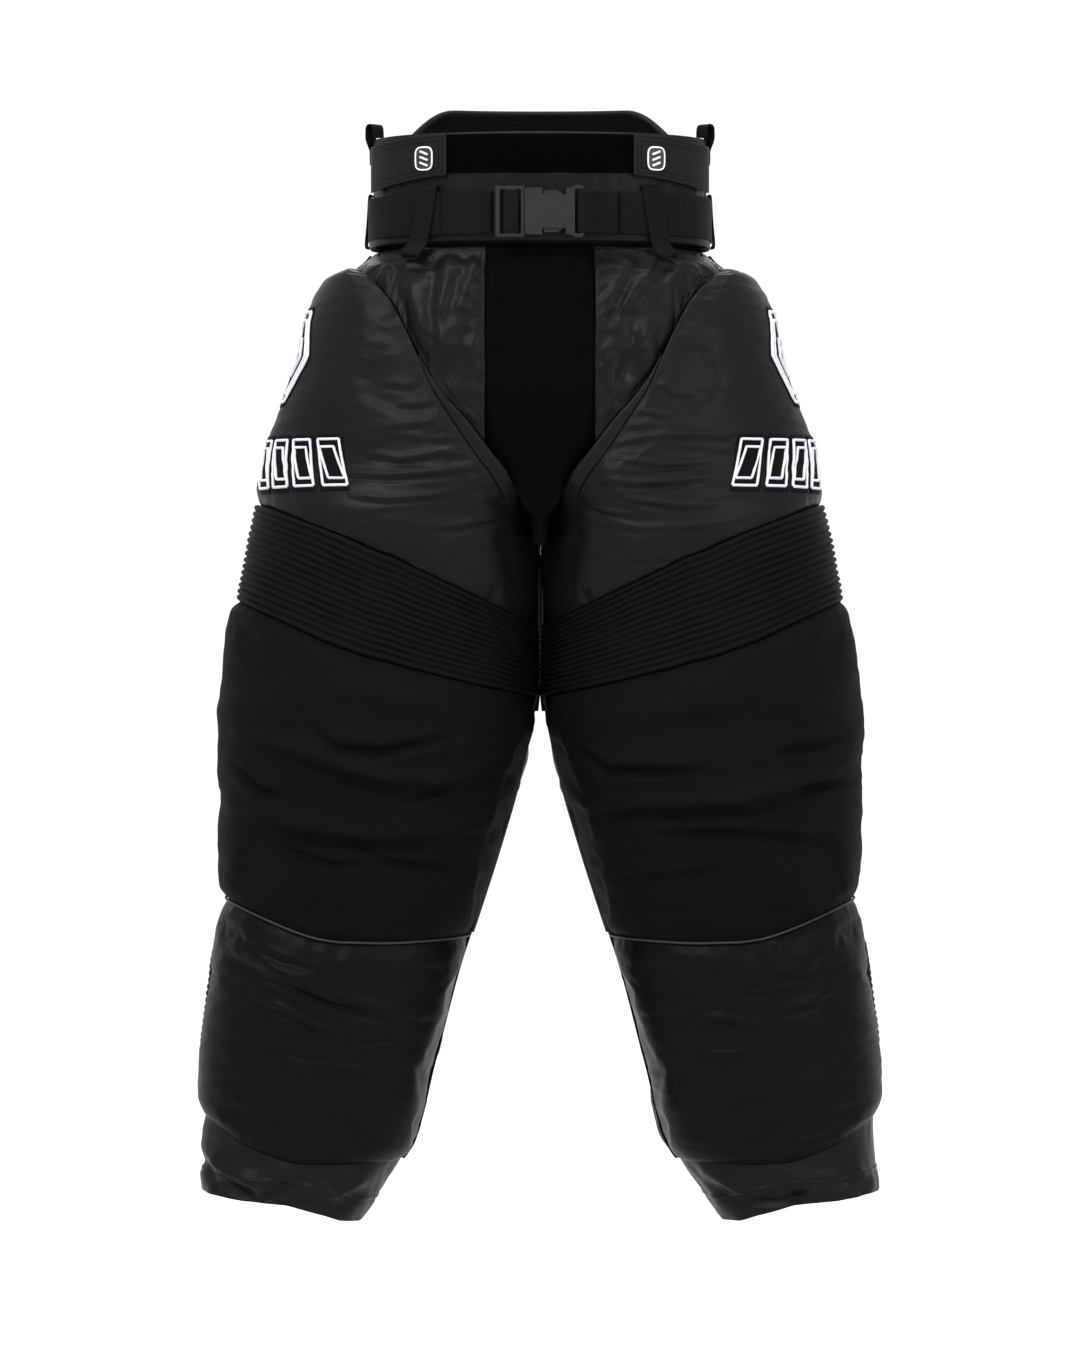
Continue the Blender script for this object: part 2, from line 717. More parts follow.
def stage_paper():
    nodes = Nodes("stage_paper")
    return nodes.finished({
        "Base Color": nodes.blend(nodes.noise(nodes.body(), 3.0), shade(0.40), shade(0.43)),
        "Roughness": 0.95,
        "Emission Color": shade(1),
        "Emission Strength": 0.62,
    })


SATIN = {"weave": "satin", "relief": 0.00006, "mottle": 0.14}
TOP_STITCHES = (0.0032,)  # distances of a panel's rows of stitches from its border
TAB_STITCHES = (0.0032, 0.0072)
CRUMPLE = 0.0012
COOL = (0.97, 0.98, 1.06)

# Each cloth's name, how pale it is, its roughness and its specular level, then its weave.
MATERIALS = {
    "satin": cloth("satin_nylon", 0.0048, 0.42, 0.085, **SATIN, crumple=CRUMPLE, stitches=TOP_STITCHES),
    "shin": cloth("shin_satin", 0.0024, 0.40, 0.055, **SATIN, crumple=CRUMPLE, stitches=TOP_STITCHES,
                  tint=COOL),
    "cuff": cloth("cuff_satin", 0.0042, 0.42, 0.085, **SATIN, crumple=CRUMPLE),
    "twill": cloth("knee_twill", 0.0034, 0.66, 0.035, "twill", 0.00022, 0.2, 0.0010, TOP_STITCHES),
    "knit": cloth("stretch_knit", 0.0021, 0.9, 0.015, "knit", 0.00018, 0.15, stitches=(0.003,)),
    "rib": cloth("ribbed_stretch", 0.0036, 0.6, 0.04, "knit", 0.00014, 0.2),
    "webbing": cloth("webbing", 0.0042, 0.62, 0.05, "webbing", 0.00025, 0.15),
    "pile": cloth("loop_pile", 0.0010, 0.97, 0.02, "pile", 0.0009, 0.3),
    "tab": cloth("tab_satin", 0.0062, 0.5, 0.09, **SATIN, crumple=0.0008, stitches=TAB_STITCHES,
                 thread=shade(0.0012)),
    "lining": cloth("lining_satin", 0.0020, 0.6, 0.03, "satin", 0.00006, 0.2, 0.001, (0.009,)),
    "piping": cloth("piping_cord", 0.024, 0.5, 0.15, "satin", 0.00012, 0.2),
    "plastic": plastic(),
    "badge_ground": badge_plastic("badge_ground", 0.006, 0.4),
    "badge_white": badge_plastic("badge_white", 0.8, 0.35),
    "foam": foam(),
    "embroidery": embroidery(),
}


def dress(piece, material):
    piece.data.materials.clear()
    piece.data.materials.append(MATERIALS[material])
    return piece


# ---- Sewn panels ------------------------------------------------------------------------------------

cover_trees = {}  # each finished panel's outer face, on the wearer's left, for what is sewn onto it


class Panel:
    """One sewn panel on one leg or on the waist. rim, middle and soft shape the way it crowns. pad is the
    depth of its inner face where it is padded, and a sheet has a thickness instead. grow is how much larger
    than the skin its cloth is cut, cap how far it may settle, and ripple its waves, as rows of (height,
    scale, stretch)."""

    def __init__(self, name, grid, rim, middle, soft, grow, cap, ripple, side=1, thickness=1.6, pad=None,
                 listed=(), pucker=0.5, left_rim=None, right_rim=None):
        self.name, self.side = name, side
        self.thickness, self.pad = thickness, pad
        self.listed, self.ripple, self.pucker = listed, ripple, pucker
        self.rims = (rim, left_rim, right_rim)
        self.skin = grid
        edge = measures(grid)[2]
        depth = puffed(edge, rim_depth(grid, *self.rims), middle, soft)
        self.points = grid + normals_of(grid) * depth[..., None]
        self.grow, self.cap = grow, cap
        self.seed = sum(ord(letter) * (i + 3) for i, letter in enumerate(name))

    def finish(self):
        """Makes the mesh: the settled grid made finer, with its folds, seam puckers and inner face."""
        points, skin = refined(self.points), refined(self.skin)
        s, t, edge = measures(points)
        inside = smooth_step(1, 12, edge)
        rise = inside * all_creases(points, self.listed)
        for number, (height, scale, stretch) in enumerate(self.ripple):
            rise = rise + inside * height * waves(points, scale, self.seed + number, stretch)
        along_seam = np.where(np.minimum(s, s[:, -1:] - s) < np.minimum(t, t[-1:] - t), t, s)
        gathers = waves(np.stack([along_seam, 0 * s, 0 * s], -1), 9, self.seed + 50)
        rise = rise + self.pucker * gathers * smooth_step(0, 4, edge) * np.exp(-edge / 9)
        outward = normals_of(points)
        outer = points + outward * rise[..., None]
        if self.pad is None:
            inner = outer - normals_of(outer) * self.thickness
        else:
            deep = puffed(edge, rim_depth(skin, *self.rims) - 2.5, self.pad, 9)
            inner = skin + normals_of(skin) * deep[..., None]
        self.outer = outer
        quads = grid_faces(outer.shape[0] - 1, outer.shape[1] - 1)
        cover_trees[self.name] = BVHTree.FromPolygons(outer.reshape(-1, 3).tolist(), quads.tolist())
        self.piece = closed_panel(self.name, outer, inner, self.side)
        return self.piece

    def declare(self):
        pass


def stand_in(piece, node, material):
    """Dresses and declares a sheet that takes a CAD node's place."""
    dress(piece, material)
    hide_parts(node)


def side_word(side):
    return "left" if side > 0 else "right"


def pair_name(name, side):
    return f"{name}_{side_word(side)}"


# The folds of each panel: a path on the front view of the leg, how wide, and how high or deep.
THIGH_FOLDS = {
    "left": [
        ([(60, -214), (100, -208), (140, -205), (172, -207)], 3.5, 2.6),
        ([(70, -228), (110, -233), (154, -231)], 3, 2.6),
        ([(50, -246), (84, -250), (120, -249), (156, -244)], 3.5, 3.0),
        ([(62, -260), (92, -266), (130, -272), (166, -269)], 3, 2.6),
        ([(48, -284), (90, -292), (140, -290), (182, -284)], 3.5, 2.3),
        ([(40, -268), (62, -276), (90, -280)], 3, 2.0),
        ([(30, -312), (70, -320), (120, -316)], 5, 1.4),
        ([(84, -172), (98, -184), (122, -190)], 3.5, 1.7),
        ([(100, -152), (120, -166), (146, -170)], 3.5, 1.4),
        ([(66, -200), (88, -198), (112, -196)], 3, 1.8),
    ],
    "right": [
        ([(56, -224), (90, -222), (126, -228), (158, -223)], 3.5, 2.7),
        ([(46, -234), (90, -240), (140, -243), (186, -240)], 3.5, 2.9),
        ([(66, -256), (100, -262), (140, -265), (172, -262)], 3, 2.6),
        ([(36, -280), (80, -290), (130, -288)], 4, 2.0),
        ([(88, -166), (104, -176), (134, -178)], 3.5, 1.8),
        ([(80, -182), (100, -194), (140, -198)], 3.5, 2.0),
        ([(98, -150), (120, -160), (146, -158)], 3.5, 1.4),
        ([(66, -206), (92, -210), (120, -208)], 3, 1.8),
    ],
}
KNEE_FOLDS = {
    "left": [
        ([(32, -495), (60, -514), (108, -515), (156, -514)], 6, -6.5),
        ([(211, -498), (252, -493), (283, -483)], 6, -5.2),
        ([(228, -533), (262, -528), (297, -525)], 5, -4.9),
        ([(36, -546), (97, -546), (142, -543), (187, -541), (228, -529), (290, -505)], 7.5, 7.3),
        ([(56, -562), (97, -550), (130, -556)], 6, -3.4),
        ([(101, -574), (176, -572), (225, -575), (266, -582)], 7, -6.2),
        ([(66, -605), (118, -603), (166, -601)], 6, 4.7),
        ([(60, -470), (120, -462), (178, -452)], 10, 2.1),
        ([(187, -424), (190, -540), (186, -665)], 22, 2.9),
    ],
    "right": [
        ([(74, -481), (108, -489), (146, -497), (187, -494), (211, -474)], 6, -6.0),
        ([(29, -508), (74, -524), (139, -522), (177, -512), (228, -495), (280, -477)], 7.5, 7.3),
        ([(231, -541), (259, -532), (284, -507)], 5, -4.9),
        ([(156, -554), (170, -536), (182, -515)], 6, -2.6),
        ([(65, -524), (98, -535), (132, -547)], 5, -4.9),
        ([(47, -561), (71, -568), (153, -573), (218, -565), (252, -553), (286, -546)], 7.5, 7.8),
        ([(159, -601), (194, -600), (245, -583)], 6, -5.2),
        ([(67, -608), (139, -599), (166, -582)], 6, -4.7),
        ([(60, -462), (120, -452), (170, -446)], 10, 2.1),
    ],
}
SHIN_FOLDS = {
    "left": [
        ([(128, -746), (166, -741), (211, -753)], 4, 3.8),
        ([(211, -737), (252, -727), (269, -718)], 4, 3.5),
        ([(139, -773), (170, -776), (197, -773)], 4, 2.9),
        ([(150, -700), (200, -704), (250, -694)], 6, 2.2),
        ([(165, -716), (196, -722), (226, -716)], 3, -2.2),
        ([(190, -806), (230, -800), (268, -806)], 5, 1.9),
    ],
    "right": [
        ([(111, -742), (194, -723), (280, -683)], 6, 4.8),
        ([(173, -753), (197, -755), (228, -738), (263, -721)], 4, 3.8),
        ([(215, -776), (230, -770), (242, -766)], 3, 2.4),
        ([(139, -795), (194, -788), (245, -783)], 4.5, 3.0),
        ([(120, -762), (150, -764), (182, -770)], 3, -2.2),
        ([(200, -700), (240, -690), (282, -668)], 4, -2.6),
    ],
}
HIP_FOLDS = {
    "left": [
        ([(83, -60), (72, -84), (61, -106)], 6, -3.0),
        ([(97, -96), (98, -130), (84, -168)], 9, 5.6),
        ([(112, -34), (96, -62), (78, -80)], 8, 2.4),
        ([(140, -36), (124, -58), (108, -84)], 8, 2.2),
        ([(62, -120), (66, -152), (60, -190)], 6, 1.8),
    ],
    "right": [
        ([(85, -122), (70, -76), (54, -30)], 7, 2.6),
        ([(88, -150), (92, -90), (84, -34)], 7, 3.6),
        ([(100, -130), (116, -80), (126, -36)], 8, 2.2),
        ([(80, -164), (64, -130), (56, -104)], 6, 1.9),
        ([(76, -182), (66, -186), (56, -198)], 4, 1.4),
    ],
}
WRINKLES = [(0.8, 38, (1.8, 1.8, 0.6)), (0.35, 13, (1.8, 1.8, 0.5))]
TWILL_WRINKLES = [(1.5, 42, (1.9, 1.9, 0.6)), (0.5, 15, (1.7, 1.7, 0.6))]
BACK_WRINKLES = [(1.8, 70, (1, 1, 0.7)), (0.5, 20, (1.6, 1.6, 0.6))]


def ride_knee(piece, side):
    """The piece bends with the knee, as everything near the accordion band does."""
    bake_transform(piece)


def ride_shin(piece, side):
    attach(piece, pair_name("lower_leg", side))


def ride_trousers(piece, side):
    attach(piece, "trousers")


THIGH_TOP, THIGH_TOP_DROP = -42, 4
PAD_EDGE_END, INNER_RUN_START, BACK_RUN_START = -306, -322, -296


def thigh_borders():
    band_top = across_leg(BAND_TOP, INNER_SEAM, SIDE_SEAM, BACK_BAND_TOP)
    start = leg_turn(table(PAD_EDGE, THIGH_TOP), THIGH_TOP)
    edge = down_front(PAD_EDGE, THIGH_TOP, PAD_EDGE_END)
    inner = down_leg(INNER_SEAM, INNER_RUN_START, band_top[0][1])
    left = resampled(np.concatenate([edge, inner[::6]]))
    right = down_leg(SIDE_SEAM, THIGH_TOP - THIGH_TOP_DROP, band_top[-1][1])
    top = np.stack([mix(start, SIDE_SEAM, STEPS), THIGH_TOP - THIGH_TOP_DROP * STEPS], -1)
    return left, right, top, band_top


def resampled(line, count=49):
    """The same line with its points evenly spaced on the leg."""
    run = run_along(leg_point(line[:, 0], line[:, 1]))
    return values_at(line, run, np.linspace(0, run[-1], count))


def hip_borders():
    """Borders of the hip panel. The lower one is found in a few rounds, because its height depends on its
    place across the front."""
    top_z, side_turn = WAIST_BOTTOM - 1, SIDE_SEAM - 0.02
    low_z = HIP_BOTTOM[0][1]
    turn = mix(leg_turn(HIP_START, low_z), side_turn, STEPS)
    z = np.full(len(STEPS), -60.0)
    for _ in range(8):
        z = table(HIP_BOTTOM, leg_point(np.minimum(turn, 1), z)[..., 0])
    bottom = np.stack([turn, z], -1)
    top = np.stack([mix(leg_turn(HIP_START, top_z), side_turn, STEPS), 0 * STEPS + top_z], -1)
    left = down_front([(top_z, HIP_START), (low_z, HIP_START)], top_z, z[0])
    return left, down_leg(side_turn, top_z, z[-1]), top, bottom


def seat_half(share):
    return mix(SEAT_TOP_HALF, SEAT_BOTTOM_HALF, np.clip(share, 0, 1) ** SEAT_TAPER)


def thigh_back_borders():
    top_z = WAIST_BOTTOM - 1
    z = mix(top_z, SEAT_BOTTOM, STEPS)
    edge_x = seat_half((top_z - z) / (top_z - SEAT_BOTTOM)) + 1
    seat_run = np.stack([2 - leg_turn(edge_x, z), z], -1)
    band_top = across_leg(BAND_TOP, SIDE_SEAM, BACK_SEAM, BACK_BAND_TOP)
    inner = down_leg(BACK_SEAM, BACK_RUN_START, band_top[-1][1])
    right = resampled(np.concatenate([seat_run, inner[::6]]))
    left = down_leg(SIDE_SEAM, top_z, band_top[0][1])
    top = np.stack([mix(SIDE_SEAM, seat_run[0][0], STEPS), 0 * STEPS + top_z], -1)
    return left, right, top, band_top


def front_borders(top_seam, back_top, bottom_seam, back_bottom, first=INNER_SEAM, last=SIDE_SEAM):
    return between(
        across_leg(top_seam, first, last, back_top), across_leg(bottom_seam, first, last, back_bottom)
    )


THIGH = thigh_borders()
BAND = front_borders(BAND_TOP, BACK_BAND_TOP, BAND_BOTTOM, BACK_BAND_BOTTOM)
KNEE = front_borders(BAND_BOTTOM, BACK_BAND_BOTTOM, KNEE_BOTTOM, BACK_KNEE_BOTTOM)
SHIN = front_borders(KNEE_BOTTOM, BACK_KNEE_BOTTOM, SHIN_BOTTOM, BACK_SHIN_BOTTOM)
KNEE_BACK = front_borders(BAND_TOP, BACK_BAND_TOP, BAND_BOTTOM, BACK_BAND_BOTTOM, SIDE_SEAM, BACK_SEAM)
CALF_BACK = front_borders(
    BAND_BOTTOM, BACK_BAND_BOTTOM, SHIN_BOTTOM, BACK_SHIN_BOTTOM, SIDE_SEAM, BACK_SEAM
)


def leg_panels(side):
    """The panels of one leg that settle as cloth, each with its material, slot and the way it rides."""
    word = side_word(side)

    def named(name, borders, spacing, **settings):
        grid = skin_grid(leg_point, borders, spacing)
        return Panel(pair_name(name, side), grid, side=side, **settings)

    return [
        (named("thigh_pad_cover", THIGH, 5.0, rim=-7.5, left_rim=1.8, middle=0.5, soft=13, pad=-20,
               grow=0.022, cap=2.6, listed=THIGH_FOLDS[word], ripple=WRINKLES, pucker=0.7),
         "satin", "satin", ride_knee),
        (named("knee_panel", KNEE, 5.0, rim=-6.5, left_rim=-3, middle=0.5, soft=11, pad=-20, grow=0.03,
               cap=3.2, listed=KNEE_FOLDS[word], ripple=TWILL_WRINKLES, pucker=0.5),
         "twill", "knee_twill", ride_knee),
        (named("shin_panel", SHIN, 5.0, rim=-7.5, left_rim=-5, middle=-0.5, soft=12, pad=-16.5, grow=0.022,
               cap=3, listed=SHIN_FOLDS[word], ripple=WRINKLES, pucker=0.3),
         "shin", "shin_satin", ride_shin),
        (named("hip_panel", hip_borders(), 5.4, rim=-15, left_rim=-13.5, middle=-11.5, soft=14, grow=0.03,
               cap=3.6, listed=HIP_FOLDS[word], ripple=WRINKLES, pucker=0.5),
         "satin", "satin", ride_trousers),
        (named("thigh_back_panel", thigh_back_borders(), 8.5, rim=-6.5, right_rim=1.8, middle=-2.5, soft=18,
               grow=0.035, cap=7, ripple=BACK_WRINKLES),
         "satin", "satin", ride_knee),
        (named("knee_back_panel", KNEE_BACK, 7, rim=-6.5, right_rim=1.6, middle=-4, soft=12, grow=0.05, cap=6,
               ripple=[(1.2, 26, (2.2, 2.2, 0.5))]),
         "knit", "stretch_knit", ride_knee),
        (named("calf_back_panel", CALF_BACK, 8.5, rim=-6.5, right_rim=-3, middle=-2.5, soft=18, grow=0.035,
               cap=7, ripple=BACK_WRINKLES),
         "shin", "satin", ride_knee),
    ]


# ---- Body panels and the waist ----------------------------------------------------------------------

def crotch_grid():
    """The crotch panel's own surface: it lies deeper lower down, and its sides tuck in under the hips."""
    v, u = shares(51, 21)
    z = mix(WAIST_BOTTOM - 1.5, CROTCH_POINT, v)
    half = table(CROTCH_EDGE, z) + CROTCH_TUCK
    x = mix(-half, half, u)
    skin = body_point(body_turn(x, z), z)
    sink = mix(-14, -34, smooth_step(-150, -282, z)) - 5 * np.abs(2 * u - 1) ** 6
    return skin + normals_of(skin) * sink[..., None]


def seat_grid():
    v, u = shares(35, 29)
    z = mix(WAIST_BOTTOM - 1.5, SEAT_BOTTOM, v)
    half = seat_half(v) - 0.6
    x = mix(half, -half, u)
    turn = 2 - body_turn(np.abs(x), z)
    return body_point(np.where(x > 0, turn, 4 - turn), z)


def waist_top(turn):
    turn = np.abs(turn)
    from_back = np.abs(turn - 2)
    raised = smooth_step(0.68, 0.3, from_back)
    front = mix(WAIST_FRONT_TOP, WAIST_SIDE_TOP, smooth_step(0, 1, turn))
    return mix(front, WAIST_BACK_TOP, raised)


def waist_grid(first, last, low_z, high, spacing):
    """A grid round the waist from one turn to another. high is a height, or a function of the turn."""
    turns = np.linspace(first, last, 200)
    run = run_along(body_point(turns, 0 * turns))
    columns = max(3, round(run[-1] / spacing))
    turn = np.interp(np.linspace(0, run[-1], columns + 1), run, turns)
    tops = high(turn) if callable(high) else np.full(len(turn), float(high))
    rows = max(3, round((tops.max() - low_z) / spacing))
    v = np.linspace(0, 1, rows + 1)[:, None]
    z = mix(tops[None], low_z, v)
    return body_point(turn[None] + 0 * z, z)


def back_top(turn):
    return waist_top(np.where(turn > 2, 4 - turn, turn))


STRIP_HALF, STRIP_MIDDLE, STRIP_BOTTOM = 130, 50, 37  # the loop strip across the front of the waist


def body_panels():
    """The panels of the hips' middle and the waist, each with its material, slot and the way it rides."""
    seam = 1.001  # the waistband's front and back meet here, with a hair of overlap
    strip = float(body_turn(STRIP_HALF, STRIP_MIDDLE))
    shift = [(0.8, 30, (2.0, 2.0, 0.6)), (0.4, 12, (1, 1, 1))]
    waistband = {
        "rim": -8.4, "middle": -7.4, "soft": 6, "pad": -15, "grow": 0.02, "cap": 1.5, "pucker": 0.6,
        "ripple": [(0.7, 20, (0.5, 0.5, 2.4)), (0.35, 9, (0.6, 0.6, 2.0))],
    }
    return [
        (Panel("crotch_panel", crotch_grid(), rim=-1, middle=0, soft=20, grow=0.015, cap=4,
               ripple=[(0.8, 60, (1, 1, 1.4))], pucker=0.2),
         "knit", "stretch_knit", ride_trousers),
        (Panel("seat_panel", seat_grid(), rim=-6.5, middle=-3, soft=18, grow=0.03, cap=6, ripple=shift),
         "knit", "stretch_knit", ride_trousers),
        (Panel("waistband_front", waist_grid(-seam, seam, WAIST_BOTTOM, waist_top, 5.0), **waistband),
         "satin", "satin", ride_trousers),
        (Panel("waistband_back", waist_grid(2 - seam, 2 + seam, WAIST_BOTTOM, back_top, 6.0), **waistband),
         "satin", "satin", ride_trousers),
        (Panel("waistband_lining", lining_grid(), rim=-16.2, middle=-15.8, soft=8, grow=0.0, cap=1.0,
               thickness=1.2, ripple=[(0.25, 24, (1, 1, 1))], pucker=0.2),
         "lining", "satin", ride_trousers),
        (Panel("loop_strip", waist_grid(-strip, strip, STRIP_BOTTOM, lambda turn: waist_top(turn) - 2, 4.0),
               rim=-5.0, middle=-4.3, soft=3, thickness=1.2, grow=0.0, cap=1.0,
               ripple=[(0.15, 8, (1, 1, 1))], pucker=0.2),
         "pile", "hook_and_loop", ride_trousers),
    ]


LINING_GAP = 0.008  # how far, in turns, the waistband's lining stops short of the side seams


def lining_grid():
    first, last = 1 + LINING_GAP, 3 - LINING_GAP
    return waist_grid(first, last, WAIST_BOTTOM, lambda turn: back_top(turn) - 3, 6.0)


# ---- Accordion band, ribbed patch and cuff ----------------------------------------------------------

def ribbed(name, skin_borders, ribs, height, base, inner_base, rows_per_rib, spacing, side, seed,
           thickness=1.6, tuck=0.0):
    """A panel of stuffed ribs with narrow grooves between them. base is the depth of their crests,
    inner_base that at the left border, and tuck how much deeper all the borders lie."""
    rows = ribs * rows_per_rib
    coarse = skin_grid(leg_point, skin_borders, spacing)
    columns = coarse.shape[1]
    u, v = np.meshgrid(np.linspace(0.002, 0.998, columns), np.linspace(0.004, 0.996, rows + 1))
    points = leg_point(*coons(skin_borders, u, v))
    s, _, edge = measures(points)
    flat = np.stack([points[..., 0], points[..., 1], 0 * s], -1)
    sway = 0.16 * waves(flat + v[..., None] * 40, 60, seed)
    phase = (v * ribs + sway * smooth_step(0, 0.1, v) * smooth_step(1, 0.9, v)) % 1
    crest = np.abs(np.sin(math.pi * phase)) ** 0.55
    uneven = 1 + 0.18 * waves(points, 30, seed + 1, (2, 2, 0.4))
    base = mix(base, inner_base, smooth_step(40, 0, s)) - tuck * np.exp(-edge / 3)
    rise = base + height * (crest * uneven - 1)
    outer = points + normals_of(points) * rise[..., None]
    smooth = points + normals_of(points) * (base - height * 0.6)[..., None]
    inner = smooth - normals_of(points) * thickness
    return closed_panel(name, outer, inner, side), outer


BAND_RIBS, PATCH_RIBS = 15, 17


def accordions(side):
    name = pair_name("accordion_panel", side)
    piece, outer = ribbed(name, BAND, BAND_RIBS, 3.4, -2.2, 2.0, 8, 6.5, side, 40 + side)
    stand_in(piece, name, "rib")
    ride_knee(piece, side)


def calf_patches(side):
    front, middle, back = 0.86, 0.99, 1.12
    patch = between(
        np.array([(front, -676), (middle, -668), (back, -664)]),
        np.array([(front, -772), (middle, -780), (back, -784)]),
    )
    name = pair_name("calf_rib_patch", side)
    piece, outer = ribbed(
        name, patch, PATCH_RIBS, 1.8, 2.6, 2.6, 6, 5.0, side, 50 + side, thickness=1.0, tuck=6.5
    )
    stand_in(piece, name, "rib")
    ride_shin(piece, side)


def ring(name, outer, inner, side):
    """A closed tube of cloth, open at both ends. The last column of each grid is left of the first."""
    rows, columns = outer.shape[0] - 1, outer.shape[1]
    count = outer.shape[0] * columns

    def index(j, i, face):
        return face * count + j * columns + i % columns

    j, i = np.meshgrid(np.arange(rows), np.arange(columns), indexing="ij")
    walls = [
        np.stack([index(j + a, i + b, face) for a, b in order], -1).reshape(-1, 4)
        for face, order in ((0, ((0, 0), (1, 0), (1, 1), (0, 1))), (1, ((0, 0), (0, 1), (1, 1), (1, 0))))
    ]
    i = np.arange(columns)
    top = np.stack([index(0, i + a, face) for a, face in ((0, 0), (1, 0), (1, 1), (0, 1))], -1)
    last = np.full(columns, rows)
    bottom = np.stack([index(last, i + a, face) for a, face in ((0, 0), (0, 1), (1, 1), (1, 0))], -1)
    faces = np.concatenate([*walls, top, bottom])
    points = np.concatenate([outer.reshape(-1, 3), inner.reshape(-1, 3)])
    if side < 0:
        points, faces = points * np.array([-1, 1, 1]), faces[:, ::-1]
    around = np.linalg.norm(np.diff(outer, axis=1, append=outer[:, :1]), axis=-1)
    s = np.cumsum(around, 1) - around
    t = np.concatenate([np.zeros((1, columns)), np.cumsum(gaps(outer), 0)])
    return mesh_object(name, points, faces, *both_faces(s, t, np.minimum(t, t[-1:] - t)))


def tube_grid(skin, turn, rows, top, bottom):
    """A grid all round a leg or the body, and its outward directions."""
    z = mix(top, bottom, np.linspace(0, 1, rows + 1)[:, None]) + 0 * turn
    points = skin(turn + 0 * z, z)
    wrapped = np.concatenate([points[:, -2:], points, points[:, :2]], 1)
    return points, normals_of(wrapped)[:, 2:-2]


CUFF_FOLDS = {
    "left": [
        ([(150, -890), (180, -905), (214, -900)], 8, 5.4),
        ([(214, -884), (250, -900), (292, -894)], 9, 5.1),
        ([(286, -876), (304, -892), (322, -908)], 7, 4.5),
        ([(190, -918), (230, -912), (268, -898)], 6.5, -3.3),
    ],
    "right": [
        ([(150, -892), (190, -908), (226, -898)], 9, 5.7),
        ([(222, -884), (262, -898), (300, -880)], 9, 5.1),
        ([(262, -902), (292, -890), (320, -868)], 7, 4.8),
        ([(300, -908), (312, -892), (322, -874)], 6.5, -3.6),
    ],
}


HEM_STITCHES = (18.5, 23.5)  # heights of the two rows of stitches above the hem
HEM_PLY = 1.1
STITCH_DEPTH, STITCH_WIDTH = 1.1, 1.2
CUFF_DEPTH, CUFF_THICKNESS = -8.5, 1.5
CUFF_TUCK = 6  # how far the cuff goes up under the shin panel
LEG_LINING_TOP, LEG_LINING_END = -262, 4
BODY_LINING_TOP, BODY_LINING_BOTTOM = WAIST_BOTTOM + 4, -244
LINING_THICKNESS = 0.8
CROTCH_DEPTH = -3  # the leg lining's depth where it runs down the inner leg
CROTCH_SINK = 20  # how much deeper the body lining lies behind the crotch panel


def cuffs(side):
    turn = np.linspace(-1, 3, 200, endpoint=False)
    top = round_leg(SHIN_BOTTOM, turn, BACK_SHIN_BOTTOM) + CUFF_TUCK
    hem = round_leg(HEM, turn, BACK_HEM)
    skin, outward = tube_grid(leg_point, turn, 44, top, hem)
    droop = smooth_step(0, 0.25, np.linspace(0, 1, len(skin)))[:, None]
    wavy = 2.2 * waves(skin, 40, 61 + side, (1, 1, 2.2)) + 0.8 * waves(skin, 14, 63 + side, (1, 1, 1.6))
    folds = np.where(skin[..., 1] < 10, all_creases(skin, CUFF_FOLDS[side_word(side)]), 0)
    above_hem = skin[..., 2] - hem
    turned_up = HEM_PLY * smooth_step(HEM_STITCHES[1] + 2, HEM_STITCHES[1] - 1, above_hem)
    stitched = sum(np.exp(-(((above_hem - height) / STITCH_WIDTH) ** 2)) for height in HEM_STITCHES)
    rise = CUFF_DEPTH + droop * (wavy + folds) + turned_up - STITCH_DEPTH * stitched
    outer = skin + outward * rise[..., None]
    name = pair_name("cuff", side)
    piece = ring(name, outer, outer - outward * CUFF_THICKNESS, side)
    stand_in(piece, name, "cuff")
    ride_shin(piece, side)


def lining_tube(name, skin, outward, depth, side):
    outer = skin + outward * depth[..., None]
    piece = ring(name, outer, outer - outward * LINING_THICKNESS, side)
    dress(piece, "lining")
    return piece


def leg_lining(side):
    """The thin lining inside a leg, from the crotch to the cuff."""
    turn = np.linspace(-1, 3, 90, endpoint=False)
    bottom = round_leg(SHIN_BOTTOM, turn, BACK_SHIN_BOTTOM) - LEG_LINING_END
    skin, outward = tube_grid(leg_point, turn, 90, LEG_LINING_TOP, bottom)
    depth = mix(LINING_BACK, LINING_FRONT, smooth_step(60, -20, skin[..., 1]))
    depth = mix(CROTCH_DEPTH, depth, smooth_step(1, 24, skin[..., 0])) + 0.8 * waves(skin, 60, 90 + side)
    ride_knee(lining_tube(pair_name("leg_lining", side), skin, outward, depth, side), side)


def body_lining():
    """The lining of the hips and seat, from the waist down to the crotch."""
    turn = np.linspace(-2, 2, 150, endpoint=False)
    skin, outward = tube_grid(body_point, turn, 40, BODY_LINING_TOP, BODY_LINING_BOTTOM)
    front = smooth_step(1.5, 0.9, np.abs(turn))
    middle = smooth_step(110, 50, np.abs(skin[..., 0])) * smooth_step(-120, -260, skin[..., 2])
    depth = mix(LINING_BACK, LINING_FRONT, front) - CROTCH_SINK * front * middle + 0.8 * waves(skin, 60, 97)
    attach(lining_tube("body_lining", skin, outward, depth, 1), "trousers")


# ---- Straps, cords and stitches ---------------------------------------------------------------------

def evenly(path, spacing):
    """Points about spacing apart along a path that is rounded through its corner points."""
    path = np.array(path, float)
    for _ in range(3):
        cut = np.empty((2 * len(path) - 2,) + path.shape[1:])
        cut[0::2] = path[:-1] * 0.75 + path[1:] * 0.25
        cut[1::2] = path[:-1] * 0.25 + path[1:] * 0.75
        path = np.concatenate([path[:1], cut, path[-1:]])
    return spaced(path, run_along(path), spacing)


NO_BORDER = 50.0  # the distance to the nearest border, for a piece that has none to rub or stitch


